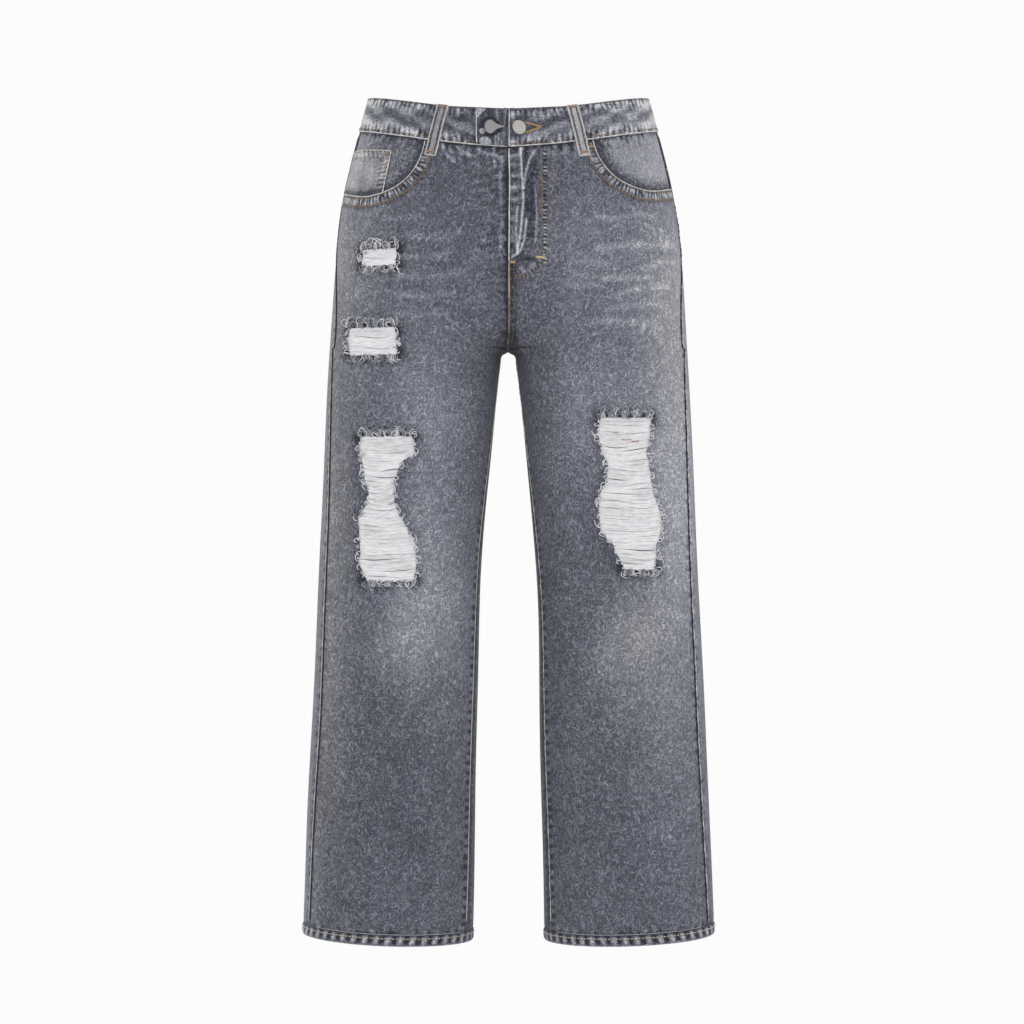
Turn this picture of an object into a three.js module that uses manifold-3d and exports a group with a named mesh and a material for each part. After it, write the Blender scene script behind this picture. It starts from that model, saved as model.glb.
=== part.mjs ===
// Ripped jeans: a pair of high-rise, straight-leg denim trousers with torn thighs and knees, filled
// out as if worn. Every piece that is cut and sewn on is a wall of cloth of its own.
//
// Millimetres, +Z up. The wearer faces -Y and the wearer's left is +X. The origin is the middle of the
// waist opening, halfway up the waistband at the sides, where the wearer's waist holds the garment.
//
// The cloth lies on one form: at each height a half section runs from the side (share 0) round the
// front to the inner end (share 1), and round the back (share -1). Above the crotch the inner end is on
// the middle plane, and below it the two meet and close the leg. A place on the form is (share, z), and
// a height off it is measured outwards.
import * as THREE from "three";
import { mergeVertices } from "three/addons/utils/BufferGeometryUtils.js";
import Module from "manifold-3d";

const wasm = await Module();
wasm.setup();

// ---- Driving dimensions ----
const SEAM_GAP = 0.35; // between pieces that are sewn edge to edge
const HALF_GAP = SEAM_GAP / 2;
const CUT_INSET = 0.35; // between a hole cut in a panel and what fills it
const DENIM = 1.2; // one thickness of cloth
const CROTCH_Z = -275;
const CROTCH_ARCH = 8; // radius of the arch between the legs
const HEM_Z = -951; // lower edge of the hem at the middle of the leg
const HEM_TILT = 0.039; // the hem rises outwards, square to the leg
const HEM_MIDDLE_X = 140;
const HEM_HEIGHT = 13;

// Profiles over the height: [z, value] from the waist down.
const SIDE_X = profile([
  [18, 161], [-38, 177], [-94, 190], [-163, 199.5], [-275, 207], [-400, 213], [-549, 220.5], [-951, 239],
]);
const GAP_X = profile([
  [-283, 8.6], [-330, 14], [-400, 21], [-465, 27], [-549, 32.5], [-660, 35.5], [-951, 41],
]);
const FRONT_DEPTH = profile([
  [18, 79], [-38, 91], [-94, 102.5], [-163, 110], [-275, 106], [-400, 95], [-549, 86], [-951, 80],
]);
const BACK_DEPTH = profile([
  [18, 82], [-38, 95.5], [-94, 110], [-163, 121], [-220, 121], [-300, 108], [-400, 97], [-549, 87],
  [-951, 81],
]);
// The x at which the section is deepest: the middle at the waist, the leg's own middle below.
const LOBE_X = profile([
  [18, 0], [-38, 9], [-94, 34], [-163, 70], [-220, 93], [-275, 106], [-330, 110.5], [-400, 117],
  [-549, 126.5], [-951, 140],
]);
// The share at that deepest point: the rest of the section, to the inner end, has what is left.
const LOBE_SHARE = profile([
  [18, 0.97], [-38, 0.91], [-94, 0.78], [-163, 0.64], [-220, 0.56], [-275, 0.51], [-330, 0.5], [-951, 0.5],
]);
// How far in front of the widest point the side seam runs, and the inseam likewise.
const SIDE_SEAM = profile([
  [18, 3], [-62, 6.4], [-110, 8.6], [-160, 17], [-217, 37], [-275, 44], [-355, 47], [-442, 48.5], [-612, 46.5],
  [-700, 46], [-782, 42.5], [-895, 37.5], [-951, 36],
]);
const INSEAM = profile([[-275, 0], [-330, 9], [-380, 16], [-440, 21], [-510, 24], [-951, 25]]);
// Squareness of the section, as a superellipse exponent: outer quarter and inner quarter.
const OUTER_POWER = profile([[18, 2.2], [-400, 2.2], [-951, 2]]);
const INNER_POWER = profile([[18, 2.5], [-275, 2.5], [-951, 2]]);
// The fork, where the front and the back part into legs: its height over the crotch and its sharpness.
const FORK = { front: { height: 80, power: 1.4 }, back: { height: 130, power: 1.1 } };

// Heights at which the panels have a row of points, below the waist pieces.
const LEVELS = [
  -110, -150, -185, -215, -240, -258, -270, CROTCH_Z, -282, -295, -330, -380, -440, -510, -590, -680,
  -770, -860,
];

// Waistband and yoke.
const WAISTBAND = {
  sideZ: -20, frontDip: 30, backRise: 3, // of its lower edge
  sideHeight: 38.5, frontHeight: 43.5, backHeight: 40,
  off: [-1.4, 1.2], // inner and outer face, off the form
};
const YOKE = { sideZ: -62, slope: 42 };
const TAB_WIDTH = 36; // the waistband's end that lies on the other one at the front

// Front pockets: the mouth is one curve from the waistband to the side seam.
const POCKET = { topX: 94, topZ: -34, bendZ: -92.5, lowX: 158, lowZ: -96.3, endX: 204, endZ: -78 };
const POCKET_DROP = { left: 0, right: 6.5 };
const FACING = { innerX: 84, lowZ: -118, off: [-3.3, -2.1] };
const COIN = { innerX: 146, lean: 13, topZ: -51, rise: 10, off: [-1.2, -0.1] };

// Back pockets: a pentagon on the panel, off the form.
const BACK_POCKET = {
  topX: [27, 149], sideX: [36, 144],
  topZ: -122, sideZ: -240, pointZ: -260,
  off: [0.8, 2],
};

// Belt loops: [x at the top, x at the bottom], on the front or the back.
const LOOP = { width: 12, above: 0.5, below: 18.5, arch: 1.2 };
const LOOPS = {
  belt_loop_front_right: [-73.5, -88, "front"],
  belt_loop_front_left: [71.5, 86, "front"],
  belt_loop_back_right: [-92, -99, "back"],
  belt_loop_back_left: [92, 99, "back"],
  belt_loop_back_centre: [0, 0, "back"],
};

// Rips: z of the top edge, then stations [distance down, right edge x, left edge x].
const RIPS = {
  rip_hip_right: {
    side: "right", topZ: -164,
    stations: [[0, -165, -126], [10, -165.5, -125.5], [20, -166, -125]],
  },
  rip_thigh_right: {
    side: "right", topZ: -252.5,
    stations: [[0, -181, -127], [18, -183, -124.5], [32, -180, -125]],
  },
  rip_knee_right: {
    side: "right", topZ: -375,
    stations: [
      [0, -167, -108], [22, -169, -105], [28, -165, -119], [50, -163, -128.5], [66, -158, -129],
      [78, -161, -127], [90, -171, -122], [116, -168.5, -106], [145, -169, -103.5], [164, -160, -106],
    ],
  },
  rip_knee_left: {
    side: "left", topZ: -354,
    stations: [
      [0, 103, 161], [20, 100, 161], [40, 106, 156.5], [56, 112, 160], [74, 110, 162], [88, 101.5, 165],
      [110, 101, 173.5], [130, 105, 173], [144, 117, 167.5], [172, 131, 166.5],
    ],
  },
};
const THREADS_OFF = [-1.15, -0.1];

// Metal: the shank button that closes the waistband, and the flat hook beside it.
const BUTTON = { x: 11.8, z: -30, radius: 8.4, turn: 25, standOff: 5.6 };
const HOOK = { x: -20, z: -28, width: 13.6, height: 16.6, tipX: -4, thickness: 1.5 };
// Zip: its tape with the closed chain behind the middle front, and its slider.
const ZIP = { width: 26, topZ: -53, bottomZ: -180, off: [-3.6, -2.4] };
const SLIDER = { width: 8, height: 11, off: [-6.6, -3.9], topZ: -56 };

const DEG = Math.PI / 180;

// ---- The form ----

// A smooth curve through [z, value] points given from the top down; straight on past the ends.
function profile(points) {
  const slope = points.map((_, i) => {
    const [a, b] = [points[Math.max(i - 1, 0)], points[Math.min(i + 1, points.length - 1)]];
    return (b[1] - a[1]) / (b[0] - a[0]);
  });
  return (z) => {
    const last = points.length - 1;
    if (z >= points[0][0]) return points[0][1] + slope[0] * (z - points[0][0]);
    if (z <= points[last][0]) return points[last][1] + slope[last] * (z - points[last][0]);
    const i = points.findIndex((p) => p[0] <= z) - 1;
    const [[z0, v0], [z1, v1]] = [points[i], points[i + 1]];
    const h = z1 - z0;
    const t = (z - z0) / h;
    return (
      v0 * (1 + 2 * t) * (1 - t) ** 2 + v1 * t * t * (3 - 2 * t) +
      h * (slope[i] * t * (1 - t) ** 2 - slope[i + 1] * t * t * (1 - t))
    );
  };
}

function gapAt(z) {
  if (z >= CROTCH_Z) return 0;
  const down = CROTCH_Z - z;
  const arch = Math.sqrt(Math.max(0, CROTCH_ARCH ** 2 - (CROTCH_ARCH - Math.min(down, CROTCH_ARCH)) ** 2));
  return down < CROTCH_ARCH ? arch : GAP_X(z);
}

const SAMPLES = 40;
const sections = new Map();

// The half section at a height, from the side to the inner end, with the share at each point.
function section(z, part) {
  const key = part + z.toFixed(4);
  if (sections.has(key)) return sections.get(key);
  const side = SIDE_X(z);
  const depth = (part === "front" ? -1 : 1) * (part === "front" ? FRONT_DEPTH(z) : BACK_DEPTH(z));
  const lobe = LOBE_X(z);
  const inner = gapAt(z);
  const parting = Math.min(1, Math.max(0, 1 - (z - CROTCH_Z) / FORK[part].height));
  const end = Math.max(1e-4, Math.asin(parting ** FORK[part].power));
  const outerPower = 2 / OUTER_POWER(z);
  const innerPower = 2 / INNER_POWER(z);
  const points = [];
  for (let i = 0; i <= SAMPLES; i++) {
    const a = ((i / SAMPLES) * Math.PI) / 2;
    const [c, s] = [Math.max(0, Math.cos(a)), Math.sin(a)];
    points.push([lobe + (side - lobe) * c ** outerPower, depth * s ** outerPower]);
  }
  for (let i = 1; i <= SAMPLES; i++) {
    const a = (i / SAMPLES) * end;
    const along = (Math.sin(a) / Math.sin(end)) ** innerPower;
    points.push([lobe - (lobe - inner) * along, depth * Math.max(0, Math.cos(a)) ** innerPower]);
  }
  const length = [0];
  for (let i = 1; i < points.length; i++) {
    const step = Math.hypot(points[i][0] - points[i - 1][0], points[i][1] - points[i - 1][1]);
    length.push(length[i - 1] + step);
  }
  const [outer, total] = [length[SAMPLES], length.at(-1)];
  const lobeShare = LOBE_SHARE(z);
  const share = length.map((l, i) =>
    i <= SAMPLES ? (lobeShare * l) / outer : lobeShare + ((1 - lobeShare) * (l - outer)) / (total - outer),
  );
  const made = { points, share, total };
  sections.set(key, made);
  return made;
}

// The point of the left half at a share and a height. Past the inner end of a leg it goes on round.
function onForm(share, z) {
  let w = share;
  if (Math.abs(w) > 1) w = z < CROTCH_Z ? w - 2 * Math.sign(w) : Math.sign(w);
  const { points, share: shares } = section(z, w >= 0 ? "front" : "back");
  const at = Math.abs(w);
  let low = 0;
  let high = shares.length - 1;
  while (high - low > 1) {
    const middle = (low + high) >> 1;
    if (shares[middle] <= at) low = middle;
    else high = middle;
  }
  const t = (at - shares[low]) / Math.max(1e-9, shares[high] - shares[low]);
  const [a, b] = [points[low], points[high]];
  return new THREE.Vector3(a[0] + (b[0] - a[0]) * t + HALF_GAP, a[1] + (b[1] - a[1]) * t, z);
}

// The same, held off the form by a height, and mirrored for the right half.
function place(half, share, z, off = 0) {
  const [dw, dz] = [0.004, 0.8];
  const along = onForm(share + dw, z).sub(onForm(share - dw, z));
  const up = onForm(share, z + dz).sub(onForm(share, z - dz));
  const point = onForm(share, z).addScaledVector(up.cross(along).normalize(), off);
  if (half === "right") point.x *= -1;
  return point;
}

// Millimetres along the section as a share of it.
function shareOf(mm, z, part = "front") {
  return mm / section(z, part).total;
}

// The share at which the section reaches an x, on the front or the back.
function shareAtX(x, z, part = "front") {
  const sign = part === "front" ? 1 : -1;
  let [low, high] = [0, 1];
  for (let i = 0; i < 40; i++) {
    const middle = (low + high) / 2;
    if (onForm(sign * middle, z).x > Math.abs(x)) low = middle;
    else high = middle;
  }
  return sign * low;
}

const clamp01 = (t) => Math.min(1, Math.max(0, t));
const mix = (a, b, t) => a + (b - a) * t;

// ---- Edges of the pieces ----

function waistbandBottom(share) {
  const s = Math.sin((clamp01(Math.abs(share)) * Math.PI) / 2);
  if (share >= 0) return WAISTBAND.sideZ - WAISTBAND.frontDip * (0.5 * s + 0.5 * s * s);
  return WAISTBAND.sideZ + WAISTBAND.backRise * Math.sin(clamp01(-share) * Math.PI);
}

function waistbandTop(share) {
  const end = share >= 0 ? WAISTBAND.frontHeight : WAISTBAND.backHeight;
  return waistbandBottom(share) + mix(WAISTBAND.sideHeight, end, Math.abs(share));
}

const yokeBottom = (share) => YOKE.sideZ - YOKE.slope * Math.abs(share);
const hemBottom = (x) => HEM_Z + HEM_TILT * (Math.abs(x) - HEM_MIDDLE_X);

function hemTop(share) {
  return hemBottom(onForm(share, HEM_Z).x) + HEM_HEIGHT + SEAM_GAP;
}

const sideSeam = (z) => shareOf(SIDE_SEAM(z), z);
const inseam = (z) => 1 - shareOf(z < CROTCH_Z ? INSEAM(z) : 0, z);

// ---- Walls of cloth ----

// A wall over a grid: at(a, b) gives [half, share, z, offsets] for a across and b down, each 0 to 1.
function wall({ cols, rows, at, off, closed = false }) {
  const across = closed ? cols : cols + 1;
  const outer = [];
  const inner = [];
  for (let j = 0; j <= rows; j++)
    for (let i = 0; i < across; i++) {
      const [half, share, z, own] = at(i / cols, j / rows, i, j);
      const faces = own ?? off;
      inner.push(place(half, share, z, faces[0]));
      outer.push(place(half, share, z, faces[1]));
    }
  const points = [...outer, ...inner];
  const shift = outer.length;
  const index = [];
  const quad = (a, b, c, d) => index.push(a, b, c, a, c, d);
  const id = (i, j) => j * across + (i % across);
  for (let j = 0; j < rows; j++)
    for (let i = 0; i < cols; i++) {
      const [a, b, c, d] = [id(i, j), id(i + 1, j), id(i + 1, j + 1), id(i, j + 1)];
      quad(a, b, c, d);
      quad(shift + d, shift + c, shift + b, shift + a);
    }
  for (let i = 0; i < cols; i++) {
    quad(id(i + 1, 0), id(i, 0), shift + id(i, 0), shift + id(i + 1, 0));
    quad(id(i, rows), id(i + 1, rows), shift + id(i + 1, rows), shift + id(i, rows));
  }
  for (let j = 0; j < rows && !closed; j++) {
    quad(id(0, j), id(0, j + 1), shift + id(0, j + 1), shift + id(0, j));
    quad(id(cols, j + 1), id(cols, j), shift + id(cols, j), shift + id(cols, j + 1));
  }
  return facingOut(points, index);
}

// The geometry of points and triangles, turned so that its faces point outwards.
function facingOut(points, index) {
  let volume = 0;
  for (let i = 0; i < index.length; i += 3) {
    const [a, b, c] = [points[index[i]], points[index[i + 1]], points[index[i + 2]]];
    volume += a.dot(b.clone().cross(c));
  }
  const turned = volume < 0 ? index.toReversed() : index;
  const geometry = new THREE.BufferGeometry().setFromPoints(points);
  geometry.setIndex(turned);
  return geometry;
}

// ---- Solids for joining and cutting ----

function toSolid(geometry) {
  const bare = geometry.clone();
  bare.deleteAttribute("normal");
  bare.deleteAttribute("uv");
  const merged = mergeVertices(bare, 1e-4);
  const vertProperties = new Float32Array(merged.attributes.position.array);
  return new wasm.Manifold(
    new wasm.Mesh({ numProp: 3, vertProperties, triVerts: new Uint32Array(merged.index.array) }),
  );
}

function toGeometry(solid) {
  const mesh = solid.getMesh();
  const position = new Float32Array(mesh.numVert * 3);
  for (let i = 0; i < mesh.numVert; i++)
    position.set(mesh.vertProperties.subarray(i * mesh.numProp, i * mesh.numProp + 3), i * 3);
  return new THREE.BufferGeometry()
    .setAttribute("position", new THREE.BufferAttribute(position, 3))
    .setIndex(new THREE.BufferAttribute(new Uint32Array(mesh.triVerts), 1));
}

// A prism over an outline in the front view, from the middle plane out through the front or the back.
function prism(shape, part = "front") {
  const reach = 200;
  const solid = new THREE.ExtrudeGeometry(shape, { depth: reach, bevelEnabled: false, curveSegments: 7 });
  solid.rotateX(Math.PI / 2);
  return toSolid(part === "back" ? solid.translate(0, reach, 0) : solid);
}

// The area above a front pocket's mouth, out past the side. A piece inside it is kept clear by an inset.
function pocketArea(half, inset = 0) {
  const s = half === "left" ? 1 : -1;
  const drop = POCKET_DROP[half] - inset;
  const { topX, topZ, bendZ, lowX, lowZ, endX, endZ } = POCKET;
  const x = topX + inset;
  const shape = new THREE.Shape();
  shape.moveTo(s * x, 0);
  shape.lineTo(s * x, topZ - drop);
  shape.bezierCurveTo(s * (x + 6), topZ - 37 - drop, s * (x + 28), bendZ - drop, s * lowX, lowZ - drop);
  shape.quadraticCurveTo(s * (lowX + 22), lowZ - 0.7 - drop, s * endX, endZ - drop);
  shape.lineTo(s * endX, 0);
  return prism(shape);
}

function ripArea({ topZ, stations }, inset = 0) {
  const last = stations.at(-1)[0];
  const down = (d) => topZ - Math.min(Math.max(d, inset), last - inset);
  const shape = new THREE.Shape();
  stations.forEach(([d, right], i) => shape[i ? "lineTo" : "moveTo"](right + inset, down(d)));
  stations.toReversed().forEach(([d, , left]) => shape.lineTo(left - inset, down(d)));
  return prism(shape);
}

// ---- Materials ----

const denim = new THREE.MeshStandardMaterial({ color: 0x6c6f7c, roughness: 0.9 });
const wornDenim = new THREE.MeshStandardMaterial({ color: 0x8a8b93, roughness: 0.9 });
const yarn = new THREE.MeshStandardMaterial({ color: 0xdad9db, roughness: 0.95 });
const metal = new THREE.MeshStandardMaterial({ color: 0xb9b6b0, roughness: 0.4, metalness: 1 });
const brass = new THREE.MeshStandardMaterial({ color: 0xa98c55, roughness: 0.4, metalness: 1 });
const tape = new THREE.MeshStandardMaterial({ color: 0x3c3e47, roughness: 0.9 });

const jeans = new THREE.Group();

function add(name, geometry, material) {
  const mesh = new THREE.Mesh(geometry, material);
  mesh.name = name;
  jeans.add(mesh);
  return mesh;
}

// ---- Leg panels ----

// Rows of a panel: its top edge, some rows down to the first level, the levels, and the hem seam.
function panelRows(top, extra) {
  return (share, j) => {
    if (j < extra) return mix(top(share), LEVELS[0], j / extra);
    return j - extra < LEVELS.length ? LEVELS[j - extra] : hemTop(share);
  };
}

// The whole front of a half between two heights off the form. What lies on or under a panel is cut
// from the same rows of points, so that the two never cross.
function frontCloth(half, off) {
  const extra = 3;
  const rowZ = panelRows((share) => waistbandBottom(share) - SEAM_GAP, extra);
  return toSolid(wall({
    cols: 10,
    rows: extra + LEVELS.length,
    off,
    at: (a, _, i, j) => {
      const level = rowZ(a, j);
      const edge = shareOf(HALF_GAP, level);
      const share = mix(sideSeam(level) + edge, inseam(level) - edge, a);
      return [half, share, rowZ(share, j)];
    },
  }));
}

function backCloth(half, off) {
  const rowZ = panelRows((share) => yokeBottom(share) - SEAM_GAP, 1);
  return toSolid(wall({
    cols: 11,
    rows: 1 + LEVELS.length,
    off,
    at: (a, _, i, j) => {
      const level = rowZ(-a, j);
      const edge = shareOf(HALF_GAP, level);
      const end = inseam(level) - 2 + edge;
      const share = mix(sideSeam(level) - edge, end, a);
      return [half, share, rowZ(share, j)];
    },
  }));
}

function frontPanel(half) {
  let solid = frontCloth(half, [-DENIM, 0]).subtract(pocketArea(half));
  for (const rip of Object.values(RIPS)) if (rip.side === half) solid = solid.subtract(ripArea(rip));
  return toGeometry(solid);
}

const backPanel = (half) => toGeometry(backCloth(half, [-DENIM, 0]));

function yoke(half) {
  return wall({
    cols: 12,
    rows: 4,
    off: [-DENIM, 0],
    at: (a, b) => {
      const level = mix(WAISTBAND.sideZ, yokeBottom(a), b);
      const edge = shareOf(HALF_GAP, level);
      const share = mix(sideSeam(level) - edge, -1 + edge, a);
      return [half, share, mix(waistbandBottom(share) - SEAM_GAP, yokeBottom(share), b)];
    },
  });
}

// ---- Front pockets ----

// The denim that shows in the pocket's mouth, a piece of its own behind the panel.
function pocketFacing(half) {
  const s = half === "left" ? 1 : -1;
  const low = FACING.lowZ - POCKET_DROP[half];
  const area = new THREE.Shape();
  area.moveTo(s * FACING.innerX, 0);
  area.lineTo(s * FACING.innerX, low);
  area.lineTo(s * POCKET.endX, low);
  area.lineTo(s * POCKET.endX, 0);
  return toGeometry(frontCloth(half, FACING.off).intersect(prism(area)));
}

// The small pocket inside the right one: it ends at the mouth, where the panel covers the rest.
function coinPocket() {
  const area = new THREE.Shape();
  const innerX = -COIN.innerX;
  area.moveTo(innerX + COIN.lean, COIN.topZ);
  area.lineTo(innerX, FACING.lowZ);
  area.lineTo(-POCKET.endX, FACING.lowZ);
  area.lineTo(-POCKET.endX, COIN.topZ + COIN.rise);
  const cloth = frontCloth("right", COIN.off).intersect(prism(area));
  return toGeometry(cloth.intersect(pocketArea("right", CUT_INSET)));
}

// ---- Back pockets ----

function backPocket(half) {
  const s = half === "left" ? 1 : -1;
  const { topX, sideX, topZ, sideZ, pointZ, off } = BACK_POCKET;
  const area = new THREE.Shape();
  const middle = (sideX[0] + sideX[1]) / 2;
  area.moveTo(s * topX[0], topZ);
  area.lineTo(s * topX[1], topZ);
  area.lineTo(s * sideX[1], sideZ);
  area.lineTo(s * middle, pointZ);
  area.lineTo(s * sideX[0], sideZ);
  return toGeometry(backCloth(half, off).intersect(prism(area, "back")));
}

// ---- Waistband ----

function waistband(half) {
  return wall({
    cols: 20,
    rows: 2,
    off: WAISTBAND.off,
    at: (a, b) => {
      const z0 = WAISTBAND.sideZ;
      const share = mix(-1 + shareOf(HALF_GAP, z0, "back"), 1 - shareOf(HALF_GAP, z0), a);
      return [half, share, mix(waistbandBottom(share), waistbandTop(share), b)];
    },
  });
}

function waistbandTab() {
  return wall({
    cols: 3,
    rows: 2,
    off: [WAISTBAND.off[1] + SEAM_GAP, WAISTBAND.off[1] + SEAM_GAP + 1],
    at: (a, b) => {
      const share = shareAtX(mix(TAB_WIDTH, 0.9, a), WAISTBAND.sideZ);
      return ["right", share, mix(waistbandBottom(share) + 0.5, waistbandTop(share) - 0.5, b)];
    },
  });
}

// A belt loop: a strip sewn down above and below the waistband, a little arched between.
function beltLoop([topX, bottomX, part]) {
  const waistShare = (x, z) => shareAtX(x, z, part);
  const rows = 5;
  return wall({
    cols: 2,
    rows,
    at: (a, b) => {
      const x = mix(topX, bottomX, b) + (a - 0.5) * LOOP.width;
      const near = waistShare(x, WAISTBAND.sideZ);
      const [top, seam] = [waistbandTop(near) + LOOP.above, waistbandBottom(near)];
      const z = mix(top, seam - LOOP.below, b);
      const over = WAISTBAND.off[1] + SEAM_GAP;
      const lift = z > seam - 1.5 ? over : mix(over, SEAM_GAP, clamp01((seam - 1.5 - z) / 5));
      const inner = lift + LOOP.arch * Math.sin(Math.PI * clamp01((top - z) / (top - seam + 2)));
      return [x < 0 ? "right" : "left", waistShare(x, z), z, [inner, inner + 1.2]];
    },
  });
}

// ---- Hems: the folded edge, a ring of its own round each leg ----

function hem(half) {
  return wall({
    cols: 24,
    rows: 1,
    closed: true,
    off: [-1.4, 0.9],
    at: (a, b) => {
      const share = mix(-1, 1, a);
      const low = hemBottom(onForm(share, HEM_Z).x);
      return [half, share, mix(low + HEM_HEIGHT, low, b)];
    },
  });
}

// ---- Rips: the white weft yarns that still cross each hole, as one thin wall in it ----

function ripThreads(rip) {
  return toGeometry(frontCloth(rip.side, THREADS_OFF).intersect(ripArea(rip, CUT_INSET)));
}

// ---- Metal pieces ----

// Turns a geometry made round +Z so that it stands on the front at x and z, off the form.
function stand(geometry, x, z, off, turn = 0) {
  const half = x < 0 ? "right" : "left";
  const share = shareAtX(x, z);
  const foot = place(half, share, z, off);
  const out = place(half, share, z, off + 1).sub(foot).normalize();
  const across = new THREE.Vector3(1, 0, 0).addScaledVector(out, -out.x).normalize();
  const frame = new THREE.Matrix4().makeBasis(across, out.clone().cross(across), out);
  const twist = new THREE.Matrix4().makeRotationY(turn * DEG);
  return geometry.applyMatrix4(new THREE.Matrix4().makeTranslation(foot).multiply(frame).multiply(twist));
}

// A shank button: a domed cap with a rolled rim on a short post.
function shankButton() {
  const { radius, turn, x, z, standOff } = BUTTON;
  const outline = [
    [0, -2.6], [3.4, -2.6], [3.4, -0.6], [radius - 0.8, -0.6], [radius, 0], [radius, 0.9],
    [radius - 0.7, 1.6], [radius - 1.6, 1.3], [0, 1.7],
  ];
  const cap = new THREE.LatheGeometry(outline.map(([r, h]) => new THREE.Vector2(r, h)), 24);
  return stand(cap.rotateX(Math.PI / 2), x, z, WAISTBAND.off[1] + standOff, turn);
}

// The hook beside it: a flat drop of metal with its tip to the middle front.
function hookPlate() {
  const { x, z, width, height, tipX, thickness } = HOOK;
  const [rx, ry, tip] = [width / 2, height / 2, tipX - x];
  const shape = new THREE.Shape();
  shape.moveTo(tip, 0);
  shape.bezierCurveTo(tip * 0.55, -0.4, rx * 0.9, -ry, 0, -ry);
  shape.bezierCurveTo(-rx * 0.75, -ry, -rx, -ry * 0.5, -rx, 0);
  shape.bezierCurveTo(-rx, ry * 0.5, -rx * 0.75, ry, 0, ry);
  shape.bezierCurveTo(rx * 0.9, ry, tip * 0.55, 0.4, tip, 0);
  const plate = new THREE.ExtrudeGeometry(shape, { depth: thickness, bevelEnabled: false, curveSegments: 8 });
  return stand(plate, x, z, WAISTBAND.off[1] + SEAM_GAP + 1 + 0.8);
}

function zipTape() {
  return wall({
    cols: 2,
    rows: 4,
    off: ZIP.off,
    at: (a, b) => {
      const z = mix(ZIP.topZ, ZIP.bottomZ, b);
      const x = (a - 0.5) * ZIP.width;
      return [x < 0 ? "right" : "left", shareAtX(x, z), z];
    },
  });
}

function zipSlider() {
  return wall({
    cols: 2,
    rows: 1,
    off: SLIDER.off,
    at: (a, b) => {
      const z = SLIDER.topZ - b * SLIDER.height;
      const x = (a - 0.5) * SLIDER.width;
      return [x < 0 ? "right" : "left", shareAtX(x, z), z];
    },
  });
}

// ---- The garment ----

for (const half of ["right", "left"]) {
  add(`front_${half}`, frontPanel(half), denim);
  add(`back_${half}`, backPanel(half), denim);
  add(`yoke_${half}`, yoke(half), denim);
  add(`pocket_facing_${half}`, pocketFacing(half), wornDenim);
  add(`back_pocket_${half}`, backPocket(half), denim);
  add(`waistband_${half}`, waistband(half), denim);
  add(`hem_${half}`, hem(half), denim);
}
add("coin_pocket", coinPocket(), wornDenim);
add("waistband_tab", waistbandTab(), wornDenim);
for (const [name, run] of Object.entries(LOOPS)) add(name, beltLoop(run), wornDenim);
for (const [name, rip] of Object.entries(RIPS)) add(name, ripThreads(rip), yarn);
add("button", shankButton(), metal);
add("hook_plate", hookPlate(), metal);
add("zip_tape", zipTape(), tape);
add("zip_slider", zipSlider(), brass);

export default jeans;
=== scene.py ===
# Ripped jeans: high-rise, straight-leg, stone-washed grey-blue denim, filled out as if worn.
# Sizes are in millimetres off the form that every piece of cloth lies on, and become metres when a
# mesh is made. The wearer faces -Y, the wearer's left is +X, and +Z is up out of the waist.
import math
import bpy
import bmesh
import numpy as np
from mathutils.geometry import delaunay_2d_cdt
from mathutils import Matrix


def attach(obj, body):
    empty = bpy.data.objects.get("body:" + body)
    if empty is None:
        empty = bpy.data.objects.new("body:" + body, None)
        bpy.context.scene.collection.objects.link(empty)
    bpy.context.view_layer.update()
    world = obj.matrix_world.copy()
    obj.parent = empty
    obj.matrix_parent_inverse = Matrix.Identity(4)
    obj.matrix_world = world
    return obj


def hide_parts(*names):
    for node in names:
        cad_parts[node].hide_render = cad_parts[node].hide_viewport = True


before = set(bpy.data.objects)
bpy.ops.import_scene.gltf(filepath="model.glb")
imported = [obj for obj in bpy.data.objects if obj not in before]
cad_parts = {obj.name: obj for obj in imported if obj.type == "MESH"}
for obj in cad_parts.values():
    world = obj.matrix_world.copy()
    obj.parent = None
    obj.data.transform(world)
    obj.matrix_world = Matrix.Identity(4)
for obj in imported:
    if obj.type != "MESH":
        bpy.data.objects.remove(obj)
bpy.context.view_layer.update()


# ---- Studio ----
# A plain pale sweep under soft, nearly frontless light, and a camera level with the middle of the legs.
# The jeans hang clear of the floor, held at the waist as a wearer would hold them.
def colour(hex_code):
    """An sRGB hex value as linear RGBA."""
    channels = [int(hex_code[i:i + 2], 16) / 255 for i in (1, 3, 5)]
    return tuple(c / 12.92 if c <= 0.04045 else ((c + 0.055) / 1.055) ** 2.4 for c in channels) + (1.0,)


def add_node(material, kind, inputs=None, **settings):
    """One shader node with its settings, and its inputs as numbers, colours or links."""
    node = material.node_tree.nodes.new(kind)
    for name, value in settings.items():
        setattr(node, name, value)
    for name, value in (inputs or {}).items():
        if isinstance(value, bpy.types.NodeSocket):
            material.node_tree.links.new(value, node.inputs[name])
        else:
            node.inputs[name].default_value = value
    return node


def new_material(name):
    material = bpy.data.materials.new(name)
    material.use_nodes = True
    material.node_tree.nodes.clear()
    return material


scene = bpy.context.scene
scene.view_settings.view_transform = "Standard"

camera_distance = 3.0
seen_width = 1.1878  # metres across the picture at the middle of the jeans
sensor_mm = 36
camera_data = bpy.data.cameras.new("camera")
camera_data.sensor_width = sensor_mm
camera_data.lens = sensor_mm * camera_distance / seen_width
camera = bpy.data.objects.new("camera", camera_data)
camera.location = (0.004, -camera_distance, -0.4605)
camera.rotation_euler = (math.pi / 2, 0, 0)
scene.collection.objects.link(camera)
scene.camera = camera

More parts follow.
